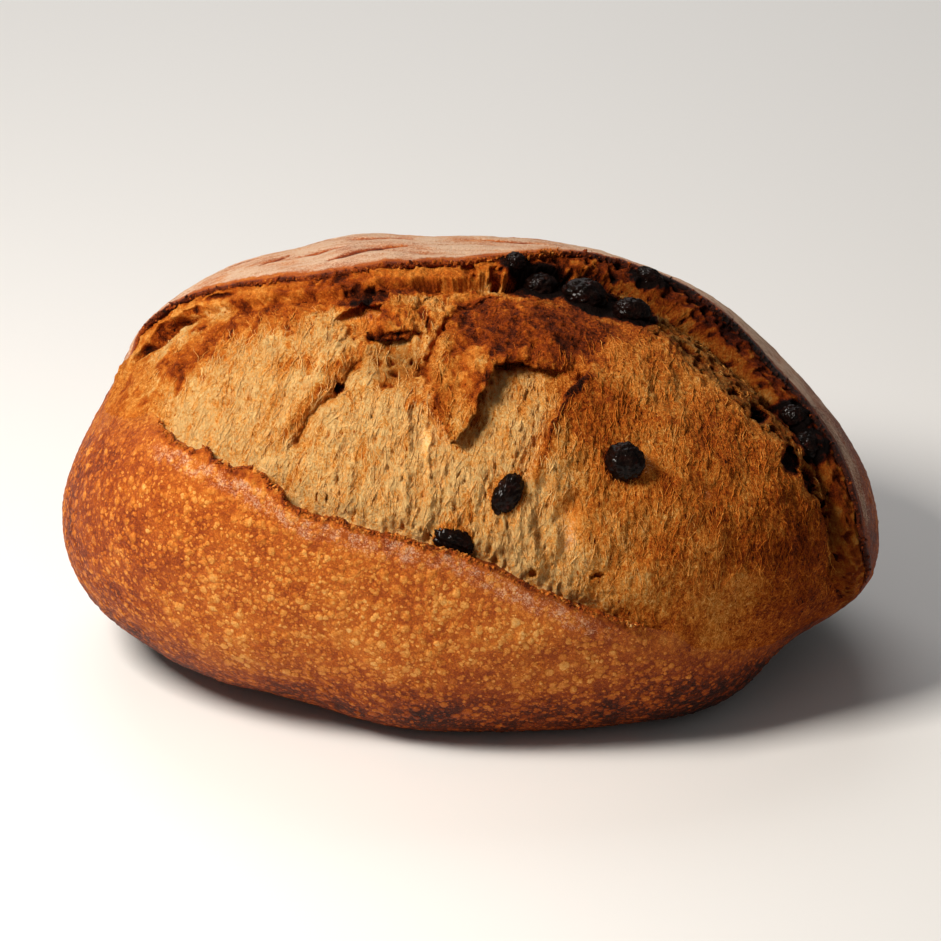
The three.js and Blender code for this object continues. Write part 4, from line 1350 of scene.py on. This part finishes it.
strand, strand_ring, strand_row = sphere_stations(STRAND_STEPS, STRAND_SIDES)
strand_turn = 2 * np.pi * strand_row / STRAND_SIDES
strand_points = []
strand_toast = []
for crumb_skin, (over, up), weight, count in zip(crumb_skins, slopes, weights, counts):
    skin, skin_toast, bearing = crumb_skin
    tried = STRAND_TRIES * count
    picked = random.choice(weight.size, tried, p=(weight / weight.sum()).ravel())
    at_ring = picked // CRUMB_ROWS + random.random(tried)
    at_row = picked % CRUMB_ROWS + random.random(tried)
    step = between(STRAND_STEP, random.random(tried) ** 2)
    lean = 0.3 * random.normal(size=tried)
    curl = 0.1 * random.normal(size=tried)
    line = []
    normals = []
    held = np.ones(tried)
    for number in range(STRAND_STEPS + 1):
        on_ring, on_row = np.clip(at_ring, 1, LAST_RING), np.clip(at_row, 1, LAST_ROW)
        near_ring, near_row = on_ring.astype(int), on_row.astype(int)
        side, rise = over[near_ring, near_row], up[near_ring, near_row]
        here = skin[near_ring, near_row] + (on_ring - near_ring)[:, None] * side
        here = here + (on_row - near_row)[:, None] * rise
        normal = np.cross(side, rise)
        normal *= np.sign(normal @ FACE_OUT)[:, None]
        normal /= np.maximum(np.linalg.norm(normal, axis=1), 1e-9)[:, None]
        line.append(here)
        normals.append(normal)
        held = np.minimum(held, bearing[near_ring, near_row])
        upright = np.interp(here @ RIGHT, *np.array(FIBRE_LEAN).T) + lean + curl * number
        toward = np.stack([upright, np.ones(tried)], axis=1)
        toward *= (step / np.linalg.norm(toward, axis=1))[:, None]
        # The step in grid cells that goes that way, from how the cell lies on the face.
        a, b = side @ RIGHT, rise @ RIGHT
        c, d = side @ FACE_UP, rise @ FACE_UP
        det = a * d - b * c
        least = np.where(det < 0, -STEEPEST, STEEPEST)
        det = np.where(np.abs(det) < STEEPEST, least, det)
        at_ring = at_ring + np.clip((d * toward[:, 0] - b * toward[:, 1]) / det, -3, 3)
        at_row = at_row + np.clip((a * toward[:, 1] - c * toward[:, 0]) / det, -3, 3)
    # Strands that would jump across a fold, or run off the open face, are left out.
    line = np.array(line)
    jump = np.linalg.norm(np.diff(line, axis=0), axis=2).max(axis=0)
    kept = np.flatnonzero((jump < 1.5 * step + 0.4) & (held > STRAND_HELD))[:count]
    line = line[:, kept]
    normals = np.array(normals)[:, kept]
    picked = picked[kept]
    heading = np.gradient(line, axis=0)
    heading /= np.maximum(np.linalg.norm(heading, axis=2), 1e-9)[..., None]
    flank = np.cross(heading, normals)
    t = np.arange(STRAND_STEPS + 1) / STRAND_STEPS
    arch = np.sin(np.pi * t)
    thick = between(STRAND_RADIUS, random.random(count) ** 2)
    lifted = 0.05 + 0.35 * random.random(count) ** 3
    line = line + normals * (lifted * arch[:, None])[..., None]
    radius = thick * np.sqrt(arch)[:, None]
    around_side = np.cos(strand_turn)[:, None, None] * flank[strand_ring]
    around_up = np.sin(strand_turn)[:, None, None] * normals[strand_ring]
    points = line[strand_ring] + radius[strand_ring][..., None] * (around_side + around_up)
    strand_points.append(points.transpose(1, 0, 2).reshape(-1, 3))
    below = skin_toast[picked // CRUMB_ROWS, picked % CRUMB_ROWS]
    tone = below - 0.09 + 0.06 * random.normal(size=count)
    strand_toast.append(np.repeat(tone, len(strand_ring)))
strands = repeated_object(
    "crumb_strands", strand, STRANDS, strand_points, strand_toast, torn_crumb_material
)
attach(strands, "root")

# ==== Dried fruit ====
# Ten dark raisins that were kneaded into the dough. Each is an almost black, wrinkled skin round a
# soft middle, with a thin warm shine of dried juice.
FRUIT_DETAIL = 5
FRUIT_COLOURS = ((0.4, "#050202"), (0.6, "#160705"), (0.8, "#3C120A"))
FRUIT_SHINE = "#FFD9B8"

raisin_skin, shader = new_material("raisin_skin")
place = add_node(raisin_skin, "TexCoord").outputs["Object"]
bloom = {"Vector": place, "Scale": 1 / (2.5 * MM), "Detail": 4.0, "Roughness": 0.7}
bloomed = add_node(raisin_skin, "TexNoise", bloom).outputs["Fac"]
crease = {"Vector": place, "Scale": 1 / (1.1 * MM), "Detail": 1.5}
crease |= {"Roughness": 0.5, "Distortion": 1.2}
creased = add_node(raisin_skin, "TexNoise", crease).outputs["Fac"]
creased = add_node(raisin_skin, "Math", {0: creased, 1: 0.5}, operation="SUBTRACT").outputs[0]
creased = add_node(raisin_skin, "Math", {0: creased}, operation="ABSOLUTE").outputs[0]
dried_surface = {
    "Base Color": colour_ramp(raisin_skin, bloomed, FRUIT_COLOURS),
    "Normal": bumped(raisin_skin, creased, 0.8 * MM),
    "Roughness": 0.5,
    "Specular IOR Level": 0.05,
    "Coat Weight": 0.2,
    "Coat Roughness": 0.17,
    "Coat Tint": linear(FRUIT_SHINE),
    "Specular Tint": linear(FRUIT_SHINE),
}
set_inputs(raisin_skin, shader, dried_surface)

for number, name in enumerate(fruit_nodes):
    corners = vertex_places(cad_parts[name].data.vertices)
    centre = (corners.min(axis=0) + corners.max(axis=0)) / 2
    axes = np.linalg.svd(corners - corners.mean(axis=0), full_matrices=False)[2]
    radii = np.abs((corners - centre) @ axes.T).max(axis=0)
    shape = bmesh.new()
    bmesh.ops.create_icosphere(shape, subdivisions=FRUIT_DETAIL, radius=1)
    ball = vertex_places(shape.verts)
    own = ball + 5 * number
    creases = np.abs(noise(own, 0.5, 111)) + 0.6 * np.abs(noise(own, 0.24, 112))
    creases += 0.35 * np.abs(noise(own, 0.12, 114))
    shrunk = 0.86 + 0.23 * np.minimum(creases, 0.8) + 0.07 * noise(own, 1.1, 113)
    places = centre + (ball * shrunk[:, None] * radii) @ axes
    for vertex, co in zip(shape.verts, places.tolist()):
        vertex.co = co
    bmesh.ops.recalc_face_normals(shape, faces=shape.faces)
    fruit = add_object("dried_" + name, shape)
    fruit.data.materials.append(raisin_skin)
    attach(fruit, "root")
    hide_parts(name)

# ==== Floor, light and camera ====
# A plain pale floor, a soft light from the upper left in front, and a broad one from behind.
FLOOR_SIZE = 6
VIEW_DISTANCE = 2.5
PIXEL = 0.292 * MM  # what one pixel of a 941-pixel view covers at the loaf
VIEW_WIDTH = 941 * PIXEL
SENSOR = 36
VIEW_MIDDLE = (0.584, 48.674)  # mm right and up the open face that the camera looks at
LIGHTS_AIM = Vector((0, 0, 0.05))

floor_shape = bmesh.new()
bmesh.ops.create_grid(floor_shape, x_segments=1, y_segments=1, size=FLOOR_SIZE / 2)
floor = add_object("floor", floor_shape, smooth=False)
floor_paint, paint = new_material("matte_white_paint")
set_inputs(floor_paint, paint, {"Base Color": linear("#EDEBE8"), "Roughness": 0.9})
floor.data.materials.append(floor_paint)
floor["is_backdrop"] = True

aim = Vector(FACE_UP * VIEW_MIDDLE[1] + RIGHT * VIEW_MIDDLE[0] - DOUGH_MIDDLE) * MM
camera = bpy.data.objects.new("camera", bpy.data.cameras.new("camera"))
camera.location = aim + Vector(FACE_OUT) * VIEW_DISTANCE
camera.rotation_euler = (-Vector(FACE_OUT)).to_track_quat("-Z", "Y").to_euler()
camera.data.sensor_width = SENSOR
camera.data.lens = SENSOR * VIEW_DISTANCE / VIEW_WIDTH
camera.data.clip_end = 20
bpy.context.scene.collection.objects.link(camera)
bpy.context.scene.camera = camera

# Name, place in metres, size in metres, power in watts, colour.
LIGHTS = (
    ("key_light", (-0.4, -0.27, 0.58), 0.22, 6.5, "#FFF9F1"),
    ("back_light", (-0.2, 0.9, 1.0), 1.0, 6.5, "#FFFFFF"),
)
for name, spot_at, size, power, code in LIGHTS:
    lamp = bpy.data.lights.new(name, "AREA")
    lamp.energy = power
    lamp.size = size
    lamp.color = linear(code)[:3]
    light = bpy.data.objects.new(name, lamp)
    light.location = spot_at
    toward = LIGHTS_AIM - Vector(spot_at)
    light.rotation_euler = toward.to_track_quat("-Z", "Y").to_euler()
    bpy.context.scene.collection.objects.link(light)

world = bpy.data.worlds.new("studio")
bpy.context.scene.world = world
world.use_nodes = True
sky = world.node_tree.nodes["Background"]
sky.inputs["Color"].default_value = linear("#FFFFFF")
sky.inputs["Strength"].default_value = 0.14
bpy.context.scene.view_settings.view_transform = "Standard"

low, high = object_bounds()
